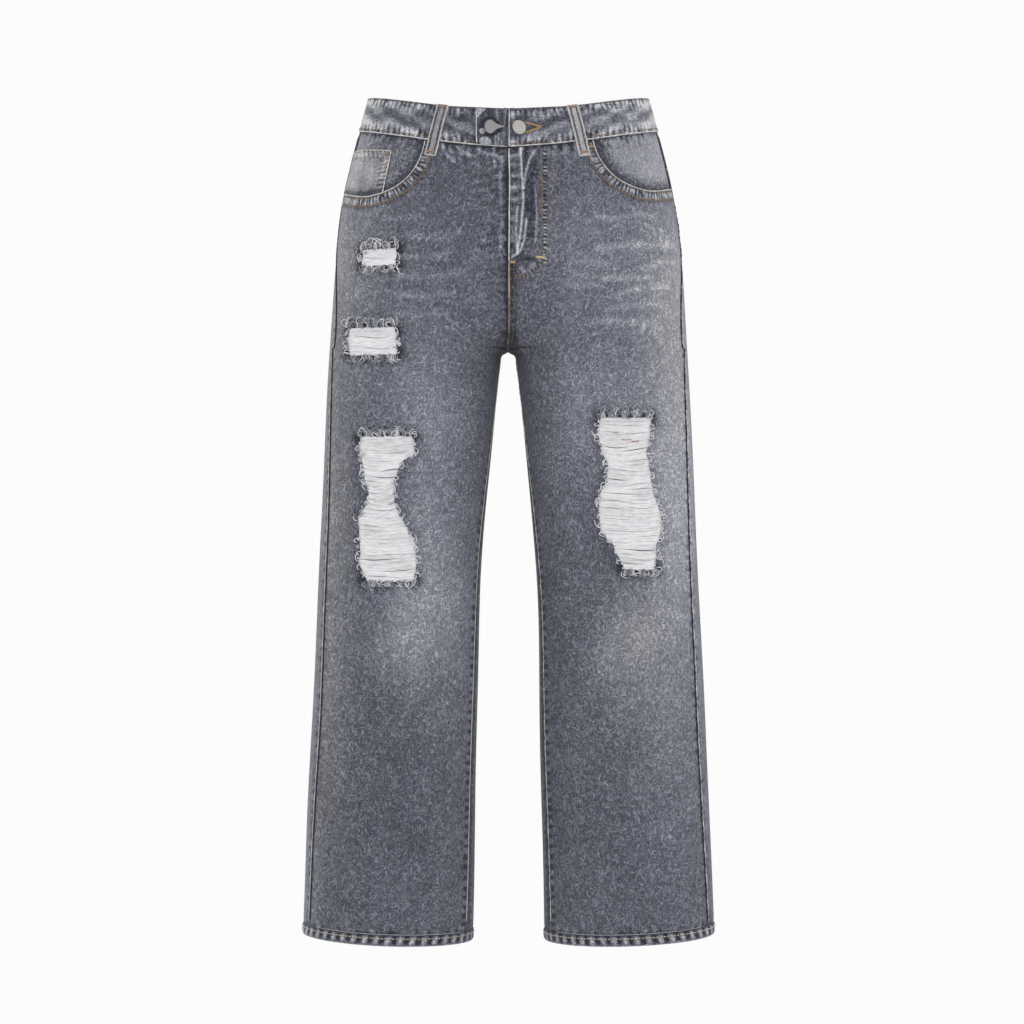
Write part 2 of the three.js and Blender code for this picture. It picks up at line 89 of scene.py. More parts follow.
# Matt white-painted board: no gloss, so it shows no reflection of the jeans.
painted_board = new_material("painted_board")
board_shader = add_node(painted_board, "ShaderNodeBsdfPrincipled",
                        {"Base Color": colour("#fdfdfd"), "Roughness": 1.0, "Specular IOR Level": 0.0})
add_node(painted_board, "ShaderNodeOutputMaterial", {"Surface": board_shader.outputs[0]})

# The floor runs back level and then turns up, so that no line shows where it ends.
floor_z, sweep_start, sweep_radius, floor_reach = -1.45, 4.0, 2.5, 14.0
sweep = [(-9.0, floor_z)]
sweep += [(sweep_start + sweep_radius * math.sin(a), floor_z + sweep_radius * (1 - math.cos(a)))
          for a in np.linspace(0, math.pi / 2, 24)]
sweep += [(sweep_start + sweep_radius, 8.0)]
floor_mesh = bpy.data.meshes.new("floor")
floor_mesh.from_pydata([(x, y, z) for y, z in sweep for x in (-floor_reach, floor_reach)], [],
                       [(2 * i, 2 * i + 1, 2 * i + 3, 2 * i + 2) for i in range(len(sweep) - 1)])
floor_mesh.polygons.foreach_set("use_smooth", np.ones(len(sweep) - 1, bool))
floor_mesh.materials.append(painted_board)
floor = bpy.data.objects.new("floor", floor_mesh)
scene.collection.objects.link(floor)

world = bpy.data.worlds.new("studio_white")
world.use_nodes = True
world.node_tree.nodes["Background"].inputs["Color"].default_value = (1, 1, 1, 1)
world.node_tree.nodes["Background"].inputs["Strength"].default_value = 1.0
scene.world = world

# Softboxes: name, place, where it points, size in metres, watts.
for name, place_at, aim, size, watts in [
    ("key", (2.6, -2.2, 1.0), (0, 0, -0.45), 1.8, 52),
    ("fill", (-2.4, -2.4, 0.6), (0, 0, -0.5), 2.2, 16),
]:
    lamp_data = bpy.data.lights.new(name, "AREA")
    lamp_data.size = size
    lamp_data.energy = watts
    lamp = bpy.data.objects.new(name, lamp_data)
    lamp.location = place_at
    direction = np.subtract(aim, place_at)
    yaw = math.atan2(direction[0], -direction[1])
    pitch = math.atan2(math.hypot(direction[0], direction[1]), -direction[2])
    lamp.rotation_euler = (pitch, 0, yaw)
    scene.collection.objects.link(lamp)


# ---- Fronts ----
# Two legs' fronts in twelve-ounce cotton twill, each cut in one piece from the waistband to the hem and
# scooped out at the top for the pocket. The wash has faded the thighs and left whiskers across the hips.
GAP = 0.35       # between pieces sewn edge to edge
DENIM = 1.2      # thickness of the cloth
CROTCH = -275
CROTCH_ARCH = 8
LEFT, RIGHT = 1, -1
BOTH_SIDES = ((RIGHT, "right"), (LEFT, "left"))
BAND_SEAM = -20.0   # z of the waistband's seam at the side seams
LEG_END = -951.0
YOKE_SIDE = -62     # z of the yoke's seam at the side seam
# The darkening within PUCKER_DEPTH of a seam is painted shade in its hollow.
PUCKER_DEPTH = 2.2  # how far in from a seam the cloth is drawn down, and darker
ROW_RIDGES = 4.3    # pitch of the small ridges between the fly's two rows


def unit(value):
    """A value held between 0 and 1."""
    return np.clip(value, 0, 1)


def hump(value, middle, spread):
    """1 at the middle, falling away to nothing on both sides."""
    return np.exp(-((value - middle) / spread) ** 2)


def curve_through(*points):
    """A smooth curve through (z, value) points given from the top down, straight on past the ends."""
    height, value = np.array(points, float).T
    count = len(points)
    before = np.maximum(np.arange(count) - 1, 0)
    after = np.minimum(np.arange(count) + 1, count - 1)
    slope = (value[after] - value[before]) / (height[after] - height[before])

    def at(z):
        z = np.asarray(z, float)
        i = np.clip(np.searchsorted(-height, -z) - 1, 0, count - 2)
        step = height[i + 1] - height[i]
        t = unit((z - height[i]) / step)
        inside = (value[i] * (1 + 2 * t) * (1 - t) ** 2 + value[i + 1] * t * t * (3 - 2 * t)
                  + step * (slope[i] * t * (1 - t) ** 2 - slope[i + 1] * t * t * (1 - t)))
        above = value[0] + slope[0] * (z - height[0])
        below = value[-1] + slope[-1] * (z - height[-1])
        return np.where(z > height[0], above, np.where(z < height[-1], below, inside))
    return at


side_x = curve_through((18, 161), (-38, 177), (-94, 190), (-163, 199.5), (-275, 207), (-400, 213),
                       (-549, 220.5), (-951, 239))
gap_x = curve_through((-283, 8.6), (-330, 14), (-400, 21), (-465, 27), (-549, 32.5), (-660, 35.5), (-951, 41))
front_depth = curve_through((18, 79), (-38, 91), (-94, 102.5), (-163, 110), (-275, 106), (-400, 95),
                            (-549, 86), (-951, 80))
back_depth = curve_through((18, 82), (-38, 95.5), (-94, 110), (-163, 121), (-220, 121), (-300, 108),
                           (-400, 97), (-549, 87), (-951, 81))
lobe_x = curve_through((18, 0), (-38, 9), (-94, 34), (-163, 70), (-220, 93), (-275, 106), (-330, 110.5),
                       (-400, 117), (-549, 126.5), (-951, 140))
lobe_share = curve_through((18, 0.97), (-38, 0.91), (-94, 0.78), (-163, 0.64), (-220, 0.56), (-275, 0.51),
                           (-330, 0.5), (-951, 0.5))
side_seam_forward = curve_through((18, 3), (-62, 6.4), (-110, 8.6), (-160, 17), (-217, 37), (-275, 44),
                                  (-355, 47), (-442, 48.5), (-612, 46.5), (-700, 46), (-782, 42.5),
                                  (-895, 37.5), (-951, 36))
inseam_forward = curve_through((-275, 0), (-330, 9), (-380, 16), (-440, 21), (-510, 24), (-951, 25))
outer_power = curve_through((18, 2.2), (-400, 2.2), (-951, 2))
inner_power = curve_through((18, 2.5), (-275, 2.5), (-951, 2))
FORM_TOP, FORM_FOOT = 45, -975
FORM_COLUMNS = 240


def laid_out_form():
    """The left half's outline at each millimetre of height: x, y and the length round from the side."""
    z = np.arange(FORM_TOP, FORM_FOOT - 1, -1.0)[:, None]
    down = np.clip(CROTCH - z, 0, CROTCH_ARCH)
    arch = np.sqrt(CROTCH_ARCH ** 2 - (CROTCH_ARCH - down) ** 2)
    inner = np.where(z >= CROTCH, 0, np.where(CROTCH - z < CROTCH_ARCH, arch, gap_x(z)))
    quarter = np.linspace(0, 1, 41)[None, :]
    outer_cos, outer_sin = np.cos(quarter * math.pi / 2).clip(0), np.sin(quarter * math.pi / 2)
    halves = []
    for depth, fork_height, fork_power in ((front_depth(z), 80, 1.4), (back_depth(z), 130, 1.1)):
        parting = unit(1 - (z - CROTCH) / fork_height)
        end = np.maximum(np.arcsin(parting ** fork_power), 1e-4)
        lobe, squareness = lobe_x(z), 2 / outer_power(z)
        x = lobe + (side_x(z) - lobe) * outer_cos ** squareness
        y = depth * outer_sin ** squareness
        squareness = 2 / inner_power(z)
        turn = quarter[:, 1:] * end
        inner_x = lobe - (lobe - inner) * (np.sin(turn) / np.sin(end)) ** squareness
        inner_y = depth * np.cos(turn).clip(0) ** squareness
        x, y = np.hstack([x, inner_x]), np.hstack([y, inner_y])
        length = np.cumsum(np.hypot(np.diff(x, prepend=x[:, :1]), np.diff(y, prepend=y[:, :1])), axis=1)
        outer, total, lobe_at = length[:, 40:41], length[:, -1:], lobe_share(z)
        share = np.where(np.arange(81) <= 40, lobe_at * length / outer,
                         lobe_at + (1 - lobe_at) * (length - outer) / (total - outer))
        columns = np.linspace(0, 1, FORM_COLUMNS + 1)
        halves.append([np.array([np.interp(columns, s, v) for s, v in zip(share, values)])
                       for values in (x, y, length)])
    (front_x, front_y, front_length), (back_x, back_y, back_length) = halves
    return np.stack([np.hstack([back_x[:, :0:-1], front_x]), np.hstack([back_y[:, :0:-1], -front_y]),
                     np.hstack([-back_length[:, :0:-1], front_length])], axis=2)


form = laid_out_form()


def read_form(share, z):
    """x, y and the length round from the side, at a share of the half section and a height."""
    share, z = np.broadcast_arrays(np.asarray(share, float), np.asarray(z, float))
    asked, past_end = share, np.abs(share) > 1
    past = np.where(z < CROTCH, share - 2 * np.sign(share), np.sign(share))
    share = np.where(past_end, past, share)
    row = np.clip(FORM_TOP - z, 0, len(form) - 1.001)
    column = np.clip((share + 1) * FORM_COLUMNS, 0, 2 * FORM_COLUMNS - 0.001)
    i, j = row.astype(int), column.astype(int)
    a, b = (row - i)[..., None], (column - j)[..., None]
    found = ((form[i, j] * (1 - b) + form[i, j + 1] * b) * (1 - a)
             + (form[i + 1, j] * (1 - b) + form[i + 1, j + 1] * b) * a)
    whole = form[i, -1, 2] - form[i, 0, 2]
    found[..., 2] += np.where(past_end & (z < CROTCH), np.sign(asked) * whole, 0)
    return found


def bare_form(share, z):
    found = read_form(share, z)
    return np.stack([found[..., 0] + GAP / 2, found[..., 1], np.broadcast_to(z, found.shape[:-1])], axis=-1)


def run_along(points):
    """How far along a line each of its points is."""
    return np.concatenate([[0], np.cumsum(np.linalg.norm(np.diff(points, axis=0), axis=1))])


def nearest_on(points, line, closed=False):
    """Each point's distance to a line, and how far along the line its nearest place is."""
    line = np.vstack([line, line[:1]]) if closed else np.asarray(line)
    along = run_along(line)
    best, where = np.full(len(points), 1e9), np.zeros(len(points))
    for k, (start, end) in enumerate(zip(line[:-1], line[1:])):
        step = end - start
        t = unit(((points - start) @ step) / max(step @ step, 1e-9))
        distance = np.linalg.norm(points - start - t[:, None] * step, axis=1)
        nearer = distance < best
        best = np.where(nearer, distance, best)
        where = np.where(nearer, along[k] + t * (along[k + 1] - along[k]), where)
    return best, where


# Creases that stand up and were rubbed pale: (x, z) points, then the width and the strength.
CREASES = {
    LEFT: [
        # Down the fly, and the rungs between its folded edge and the longest crease.
        ([(13.5, -52), (15.2, -86), (16.4, -112), (14.6, -136), (12, -156), (9.5, -172)], 1.5, 1.5),
        ([(30, -53), (23, -66), (19.5, -79), (17, -98)], 1.6, 1.2),
        ([(20, -133), (17.5, -156), (13, -169), (4, -175)], 1.5, 1.3),
        ([(30, -100), (31.5, -128), (30, -158)], 1.5, 0.9),
        ([(10, -118), (8.6, -140), (9.4, -168)], 1.4, 0.9),
        ([(3, -60), (12, -61)], 1.7, 0.6), ([(3, -73), (13, -71)], 1.8, 0.6),
        ([(3, -85), (14, -83)], 2.0, 0.6), ([(4, -97), (12, -97)], 3.0, 0.7),
        ([(4, -112), (11, -109)], 2.6, 0.5), ([(4, -132), (8, -130)], 2.6, 0.5),
        ([(4, -148), (8, -150)], 2.2, 0.5), ([(14, -187), (20, -192), (28, -184)], 3.0, 0.7),
        # Whiskers across the hip.
        ([(98, -129), (112, -132), (126, -130), (147, -124), (164, -126)], 3.2, 0.5),
        ([(99, -166), (126, -163), (150, -160), (186, -158)], 4.4, 0.5),
        ([(150, -188), (164, -182), (176, -177), (188, -176)], 3.2, 0.5),
        ([(106, -200), (130, -199), (160, -197)], 3.6, 0.5),
        ([(122, -218), (137, -212), (152, -209), (180, -206)], 3.4, 0.5),
        ([(114, -234), (130, -229), (147, -230), (160, -225), (176, -229)], 3.6, 0.4),
        ([(92, -249), (116, -246), (140, -247), (170, -252)], 4.0, 0.4),
        ([(78, -142), (90, -147), (104, -146)], 3.0, 0.3), ([(70, -182), (92, -180), (110, -183)], 4.0, 0.3),
        ([(170, -140), (178, -150), (176, -163)], 3.0, 0.5),
        ([(60, -205), (82, -209), (98, -206)], 4.0, 0.25),
        # Drawn in under the waistband.
        ([(60, -46), (64, -56), (74, -60)], 1.8, 0.5), ([(52, -49), (49, -62)], 1.8, 0.4),
        ([(92, -60), (96, -74), (94, -88)], 2.0, 0.3)],
    RIGHT: [
        ([(74, -46), (70, -57), (61, -67)], 1.9, 0.9), ([(60, -48), (52, -56), (38, -61)], 1.9, 0.8),
        ([(36, -52), (24, -58), (8, -62)], 2.0, 0.8), ([(22, -54), (17, -62), (15, -72)], 2.0, 0.6),
        ([(88, -52), (84, -66), (86, -78)], 1.8, 0.4), ([(46, -51), (42, -66), (30, -74)], 1.8, 0.4),
        ([(7, -62), (9, -90), (8, -118)], 1.8, 0.5), ([(5, -128), (9, -146), (8, -166)], 2.6, 0.5),
        ([(100, -128), (118, -131), (140, -129)], 3.2, 0.35),
        ([(56, -150), (80, -154), (112, -152)], 4.0, 0.4),
        ([(66, -172), (96, -176), (124, -174)], 3.4, 0.5), ([(50, -193), (84, -197), (122, -196)], 4.2, 0.45),
        ([(62, -216), (90, -220), (126, -217)], 3.6, 0.45),
        ([(74, -238), (104, -241), (132, -238)], 4.0, 0.3),
        ([(140, -112), (148, -122), (158, -125)], 2.4, 0.4)],
}


def crease_height(side, x, z):
    """The creases: 0 between them to about 1 on their crests, and a little below 0 beside them."""
    where = np.stack([x.ravel(), z.ravel()], 1)
    total = np.zeros(len(where))
    for line, width, strength in CREASES[side]:
        line = np.array(line, float)
        near = np.all((where > line.min(0) - 14) & (where < line.max(0) + 14), axis=1)
        if near.any():
            away, _ = nearest_on(where[near], line)
            total[near] += strength * (1.25 * hump(away, 0, width) - 0.25 * hump(away / width, 0, 2))
    return total.reshape(x.shape)


def folds(side, share, z):
    """How far the cloth stands off the form: creases, the fly's double thickness and slow ripples."""
    x, y, _ = np.moveaxis(read_form(share, z), -1, 0)
    z = np.broadcast_to(z, x.shape)
    front = unit(-y / 30)
    below_band = unit((-46 - z) / 6)
    lift = 0.9 * front * below_band * crease_height(side, x, z)
    slow = np.sin(x / 37 + side) * np.sin(z / 61 + 1.3 * side) + 0.6 * np.sin(x / 23 - z / 43 + 2 * side)
    lift = lift + 0.5 * slow * unit((-60 - z) / 60)
    fly = front * unit((z + 205) / 30) * unit((-42 - z) / 10)
    if side == LEFT:
        placket = 1 / (1 + np.exp((x - 41) / 1.2))
        lift = lift + fly * (0.9 * placket + 0.25 * np.sin(x / 2.9 + 1.5 * np.sin(z / 33)) * hump(x, 17, 14))
    else:
        lift = lift - 0.3 * fly * hump(x, 0, 6)
    back = unit(y / 30)
    under_seat = 1.3 * np.cos((z + 285 + 0.12 * (x - 100)) / 7.5) * hump(z, -290, 26) * hump(x, 100, 55)
    behind_knee = 1.4 * np.cos((z + 560 - 0.2 * (x - 130)) / 8.5) * hump(z, -560, 38) * hump(x, 130, 48)
    return lift + back * (under_seat + behind_knee)


def place(side, share, z, off=0.0):
    """Points off the form, in millimetres, with the folds in it."""
    across = bare_form(share + 0.004, z) - bare_form(share - 0.004, z)
    up = bare_form(share, z + 0.8) - bare_form(share, z - 0.8)
    out = np.cross(up, across)
    out /= np.linalg.norm(out, axis=-1, keepdims=True)
    point = bare_form(share, z) + out * np.asarray(off + folds(side, share, z))[..., None]
    point[..., 0] *= side
    return point


def share_at_x(x, z, front=True):
    """The share at which the half section comes to an x on its front or its back."""
    x, z = np.broadcast_arrays(np.abs(np.asarray(x, float)), np.asarray(z, float))
    columns = np.linspace(0, 1, FORM_COLUMNS + 1)
    half = form[:, FORM_COLUMNS:, 0] if front else form[:, FORM_COLUMNS::-1, 0]
    rows = np.clip(np.rint(FORM_TOP - z), 0, len(form) - 1).astype(int)
    found = [np.interp(-value, -half[row] - GAP / 2, columns) for value, row in zip(x.ravel(), rows.ravel())]
    return np.reshape(found, x.shape) * (1 if front else -1)


def share_of(mm, z, front=True):
    rows = np.clip(np.rint(FORM_TOP - np.asarray(z, float)), 0, len(form) - 1).astype(int)
    return mm / np.abs(form[rows, -1 if front else 0, 2])


def side_seam(z):
    return share_of(side_seam_forward(z), z)


def inseam(z):
    return 1 - share_of(np.where(np.asarray(z) < CROTCH, inseam_forward(z), 0), z)


def waistband_bottom(share):
    s = np.sin(unit(np.abs(share)) * math.pi / 2)
    back = BAND_SEAM + 3 * np.sin(unit(-share) * math.pi)
    return np.where(share >= 0, BAND_SEAM - 30 * (0.5 * s + 0.5 * s * s), back)


def hem_bottom(share):
    return LEG_END + 0.039 * (bare_form(share, LEG_END)[..., 0] - 140)


HEM_HEIGHT = 13


def hem_top(share):
    return hem_bottom(share) + HEM_HEIGHT + GAP


def mouth_line(side, inset=0.0):
    """A front pocket's mouth as (x, z) points, from the waistband down and out to the side seam."""
    drop = (6.5 if side == RIGHT else 0) - inset
    t = np.linspace(0, 1, 40)[:, None]
    start = np.array([94 + inset, -34 - drop])
    bend, low = np.array([122 + inset, -92.5 - drop]), np.array([158, -96.3 - drop])
    first = ((1 - t) ** 3 * start + 3 * (1 - t) ** 2 * t * (start + [6, -37])
             + 3 * (1 - t) * t * t * bend + t ** 3 * low)
    end = np.array([204, -78 - drop])
    second = (1 - t) ** 2 * low + 2 * (1 - t) * t * np.array([180, -97.0 - drop]) + t * t * end
    return np.vstack([first, second[1:]])


# Rips: the side, z of the top edge, then (distance down, wearer's-right x, wearer's-left x).
RIPS = {
    "rip_hip_right": (RIGHT, -164, [(0, -165, -126), (10, -165.5, -125.5), (20, -166, -125)]),
    "rip_thigh_right": (RIGHT, -252.5, [(0, -181, -127), (18, -183, -124.5), (32, -180, -125)]),
    "rip_knee_right": (RIGHT, -375, [
        (0, -167, -108), (22, -169, -105), (28, -165, -119), (50, -163, -128.5), (66, -158, -129),
        (78, -161, -127), (90, -171, -122), (116, -168.5, -106), (145, -169, -103.5), (164, -160, -106)]),
    "rip_knee_left": (LEFT, -354, [
        (0, 103, 161), (20, 100, 161), (40, 106, 156.5), (56, 112, 160), (74, 110, 162), (88, 101.5, 165),
        (110, 101, 173.5), (130, 105, 173), (144, 117, 167.5), (172, 131, 166.5)]),
}


def spaced(points, step):
    """The same line as evenly spaced points, its two ends among them."""
    points = np.asarray(points, float)
    length = run_along(points)
    marks = np.linspace(0, length[-1], max(2, int(round(length[-1] / step)) + 1))
    return np.stack([np.interp(marks, length, points[:, k]) for k in range(points.shape[1])], axis=1)


def rip_outline(name, step=2.5, ragged=0.9):
    """A rip's edge as a closed ring of (x, z) points, a little ragged where the yarns let go."""
    _, top, stations = RIPS[name]
    down, right, left = np.array(stations, float).T
    ring = np.vstack([np.stack([right, top - down], 1), np.stack([left, top - down], 1)[::-1],
                      [[right[0], top]]])
    ring = spaced(ring, step)[:-1]
    rng = np.random.default_rng(sum(map(ord, name)))
    return ring + rng.uniform(-ragged, ragged, ring.shape)


def inside_ring(points, ring):
    """Which points lie inside a closed ring."""
    inside = np.zeros(len(points), bool)
    for (x0, y0), (x1, y1) in zip(ring, np.roll(ring, -1, axis=0)):
        if y0 == y1:
            continue
        crosses = (y0 > points[:, 1]) != (y1 > points[:, 1])
        inside ^= crosses & (points[:, 0] < (x1 - x0) * (points[:, 1] - y0) / (y1 - y0) + x0)
    return inside


def cloth_flat(share, z):
    """Where a place on the form lies in the flat cloth: across and along, in millimetres."""
    middle = read_form(np.where(np.asarray(share) < side_seam(z), -0.5, 0.5), z)[..., 2]
    return np.stack([read_form(share, z)[..., 2] - middle, np.broadcast_to(z, np.shape(share))], axis=-1)


# Where the wash and the stones took most dye off the fronts, and painted light: the tall patches down the
# legs' sides stand for light falling there as well as for fading. For each, the middle (x, z) of a soft
# patch, how far it reaches each way in millimetres, and how much paler it is.
FADED_AND_LIT = {
    LEFT: [(92, -345, 52, 92, 0.5), (130, -612, 44, 55, 0.62), (90, -170, 60, 85, 0.5),
           (188, -430, 50, 180, 1.2), (190, -190, 50, 125, 0.85), (190, -720, 45, 170, 0.4),
           (70, -420, 40, 130, 0.13), (120, -900, 90, 60, 0.05), (110, -690, 70, 120, 0.12)],
    RIGHT: [(92, -345, 52, 92, 0.66), (120, -612, 45, 55, 0.5), (100, -525, 40, 105, 0.78),
            (50, -545, 36, 150, 0.34), (45, -700, 42, 170, 0.24), (176, -180, 46, 115, 0.62),
            (80, -180, 60, 80, 0.2), (195, -420, 32, 200, 0.4), (199, -640, 18, 220, 0.35),
            (120, -900, 90, 60, 0.1)],
}
# Where the pale cloth has gone beige rather than grey.
YELLOWED = {
    LEFT: [(196, -215, 30, 90, 0.7), (150, -580, 40, 80, 0.6), (190, -330, 30, 120, 0.3),
           (150, -690, 50, 70, 0.3)],
    RIGHT: [(190, -170, 34, 110, 0.7), (202, -420, 26, 200, 0.9), (204, -720, 22, 200, 0.9),
            (120, -640, 50, 60, 0.3)],
}


def patches(listed, x, z):
    return sum(much * hump(x, mid_x, wide) * hump(z, mid_z, tall)
               for mid_x, mid_z, wide, tall, much in listed)


def wash_and_painted_light(side, share, z):
    """How far the wash has lightened the cloth, with painted light down its sides: 0 on the dark ground to 1
    where it is palest.
    """
    x, y, _ = np.moveaxis(read_form(share, z), -1, 0)
    z = np.broadcast_to(z, x.shape)
    front, back = unit(-y / 40), unit(y / 40)
    # The faded patches, which down the legs' sides are partly painted light.
    faded = patches(FADED_AND_LIT[side], x, z)
    # Painted light: a paler strip down the outer side of each leg, most on the right leg.
    outer = (0.3 if side == LEFT else 0.85) * unit(1 - np.abs(y) / 62) * unit((x - 120) / 40)
    seat = 0.5 * hump(x, 95, 70) * hump(z, -190, 90) + 0.3 * hump(x, 130, 50) * hump(z, -640, 120)
    # Creases rubbed pale on their crests, with a little painted shade in the dips beside them.
    crests = 0.95 * crease_height(side, x, z) * unit((-44 - z) / 4)
    return front * (faded + crests) + back * seat + outer


def finish_mesh(name, points, faces, material, layers=None, crease=50, lining=None, turned=True):
    """A mesh object in metres, smooth, sharp over an angle, with its measures as attributes.
    lining is the range of faces on the cloth's inner side and their material."""
    mesh = bpy.data.meshes.new(name)
    mesh.from_pydata((np.asarray(points) * 0.001).tolist(), [], [tuple(f) for f in faces])
    if turned:
        work = bmesh.new()
        work.from_mesh(mesh)
        bmesh.ops.recalc_face_normals(work, faces=work.faces)
        work.to_mesh(mesh)
        work.free()
    for layer, values in (layers or {}).items():
        attribute = mesh.attributes.new(layer, "FLOAT_VECTOR", "POINT")
        attribute.data.foreach_set("vector", np.asarray(values, np.float32).ravel())
    mesh.polygons.foreach_set("use_smooth", np.ones(len(mesh.polygons), bool))
    mesh.set_sharp_from_angle(angle=math.radians(crease))
    mesh.materials.append(material)
    if lining:
        start, stop, inner_material = lining
        mesh.materials.append(inner_material)
        index = np.zeros(len(mesh.polygons), np.int32)
        index[start:stop] = 1
        mesh.polygons.foreach_set("material_index", index)
    piece = bpy.data.objects.new(name, mesh)
    scene.collection.objects.link(piece)
    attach(piece, "root")
    return piece


def stone_washed_twill(name, hollow, ground, crest, bare, veined=1.0):
    """Cotton twill dyed on its warp only, then tumbled with stones: the crinkles and ridges that the
    tumbling rubbed lose their dye first, so they read as thin pale veins on a dark ground."""
    material = new_material(name)

    def attribute(layer):
        return add_node(material, "ShaderNodeAttribute", attribute_name=layer).outputs["Vector"]

    def split(vector):
        return add_node(material, "ShaderNodeSeparateXYZ", {"Vector": vector}).outputs

    def sums(operation, *values, clamp=False):
        node = add_node(material, "ShaderNodeMath", operation=operation, use_clamp=clamp)
        for socket, value in zip(node.inputs, values):
            if isinstance(value, bpy.types.NodeSocket):
                material.node_tree.links.new(value, socket)
            else:
                socket.default_value = value
        return node.outputs[0]

    flat = attribute("cloth")
    # The wash attribute: fading with painted light, the darkening that is mostly painted shade, and streaks.
    fading_and_painted_light, darkened, streaked = split(attribute("wash"))
    seam = attribute("seam")
    periods, from_seam, puckered = split(seam)
    yellowed = split(attribute("aged"))[0]

    def noise(scale, detail=2.0, roughness=0.5, distortion=0.0, vector=flat):
        return add_node(material, "ShaderNodeTexNoise",
                        {"Vector": vector, "Scale": scale, "Detail": detail, "Roughness": roughness,
                         "Distortion": distortion}).outputs["Fac"]

    def scaled(vector, *factors):
        return add_node(material, "ShaderNodeMapping", {"Vector": vector, "Scale": factors}).outputs[0]

    # Crinkles 2 to 4 mm apart: level lines of a soft noise, thin and winding, that come and go.
    def veins(scale, levels, width, seed):
        moved = add_node(material, "ShaderNodeVectorMath", {0: flat, 1: (seed, seed, 0)}, operation="ADD")
        level = noise(scale, 1.0, 0.35, 0.9, scaled(moved.outputs[0], 1.15, 0.85, 1))
        from_line = sums("PINGPONG", sums("MULTIPLY", level, levels), 0.5)
        return sums("SUBTRACT", 1.0, sums("DIVIDE", from_line, width), clamp=True)
    broken = sums("MULTIPLY_ADD", noise(0.2, 1.0, 0.5, 0.6), 2.8, -0.6, clamp=True)
    vein = sums("MAXIMUM", sums("MULTIPLY", veins(0.125, 4.6, 0.2, 0.0), broken),
                sums("MULTIPLY", veins(0.17, 3.6, 0.16, 90.0), 0.8))
    pit = sums("MULTIPLY_ADD", noise(0.33, 1.0, 0.5, 0.5), -6.0, 2.3, clamp=True)
    cloud = sums("SUBTRACT", noise(0.028, 3.0, 0.6), 0.5)
    grain = sums("SUBTRACT", noise(0.62, 2.0, 0.8), 0.5)
    # Warp slubs: yarns of uneven thickness, some 1 mm wide and 30 mm long.
    slub = sums("SUBTRACT", noise(1.0, 2.0, 0.6, 0.0, scaled(flat, 0.8, 0.035, 1)), 0.5)
    # Twill ridges, really 0.7 mm apart, drawn 1.6 mm apart so that they show.
    twill = add_node(material, "ShaderNodeTexWave",
                     {"Vector": flat, "Scale": 0.28, "Distortion": 1.0, "Detail": 2.0, "Detail Scale": 0.4},
                     bands_direction="DIAGONAL").outputs["Fac"]
    # Puckers: the cloth waves where a seam's thread drew it up, and the wash rubs its crests paler; the
    # waves' light and shade are also painted into the colour.
    sway = sums("MULTIPLY_ADD", noise(0.045, 1.0), 9.0, sums("MULTIPLY", periods, 2 * math.pi))
    even = sums("SINE", sums("MULTIPLY_ADD", from_seam, 0.12, sway))
    ragged = sums("MULTIPLY_ADD", noise(1.0, 2.0, 0.6, 0.4, scaled(seam, 1.1, 0.07, 0)), 5.0, -2.5)
    wave = sums("MULTIPLY", sums("MULTIPLY_ADD", even, 0.5, ragged), puckered)
    even_veins = sums("MULTIPLY", vein, sums("MULTIPLY_ADD", streaked, -0.3, 1.0))
    light = sums("MULTIPLY_ADD", even_veins, 0.45 * veined, 0.165)
    light = sums("MULTIPLY_ADD", pit, -0.16, light)
    light = sums("MULTIPLY_ADD", fading_and_painted_light, 0.36, light)
    light = sums("MULTIPLY_ADD", cloud, 0.20, light)
    light = sums("MULTIPLY_ADD", grain, 0.55, light)
    light = sums("MULTIPLY_ADD", slub, 0.16, light)
    light = sums("MULTIPLY_ADD", sums("MULTIPLY", slub, streaked), 0.9, light)
    light = sums("MULTIPLY_ADD", sums("SUBTRACT", twill, 0.5), 0.06, light)
    light = sums("MULTIPLY_ADD", wave, 0.36, light)
    # Take off the darkening, mostly painted shade in seams' hollows, under edges, round the rips and round
    # the hook.
    light = sums("SUBTRACT", light, darkened)
    ramp = add_node(material, "ShaderNodeValToRGB", {"Fac": light})
    stops = [(0.0, hollow), (0.3, ground), (0.66, crest), (1.0, bare)]
    while len(ramp.color_ramp.elements) < len(stops):
        ramp.color_ramp.elements.new(0.5)
    for element, (at, code) in zip(ramp.color_ramp.elements, stops):
        element.position, element.color = at, colour(code)
    # Where the dye has gone right through, what is left is the cotton's own beige.
    beige = add_node(material, "ShaderNodeMix", {"Factor": yellowed}, data_type="RGBA", blend_type="MULTIPLY")
    material.node_tree.links.new(ramp.outputs[0], beige.inputs["A"])
    beige.inputs["B"].default_value = colour("#fffcf0")
    height = sums("MULTIPLY_ADD", vein, 0.8, sums("MULTIPLY", grain, 0.7))
    height = sums("MULTIPLY_ADD", twill, 0.3, height)
    height = sums("MULTIPLY_ADD", wave, 1.2, height)
    bump = add_node(material, "ShaderNodeBump", {"Height": height, "Strength": 0.6, "Distance": 0.0005})
    shader = add_node(material, "ShaderNodeBsdfPrincipled",
                      {"Base Color": beige.outputs["Result"], "Normal": bump.outputs[0], "Roughness": 0.88,
                       "Specular IOR Level": 0.25, "Sheen Weight": 0.12, "Sheen Roughness": 0.5})
    add_node(material, "ShaderNodeOutputMaterial", {"Surface": shader.outputs[0]})
    return material


# The outer side: a dark blue-grey ground between pale rubbed veins, with no gloss.
denim = stone_washed_twill("stone_washed_denim", "#2b2d37", "#565964", "#8d8f9b", "#cfcfd3")
# The inner side shows the undyed weft, so it is paler and flatter.
denim_inside = stone_washed_twill("denim_weft_side", "#5f636e", "#83868f", "#a3a5ad", "#d2d2d6", 0.3)


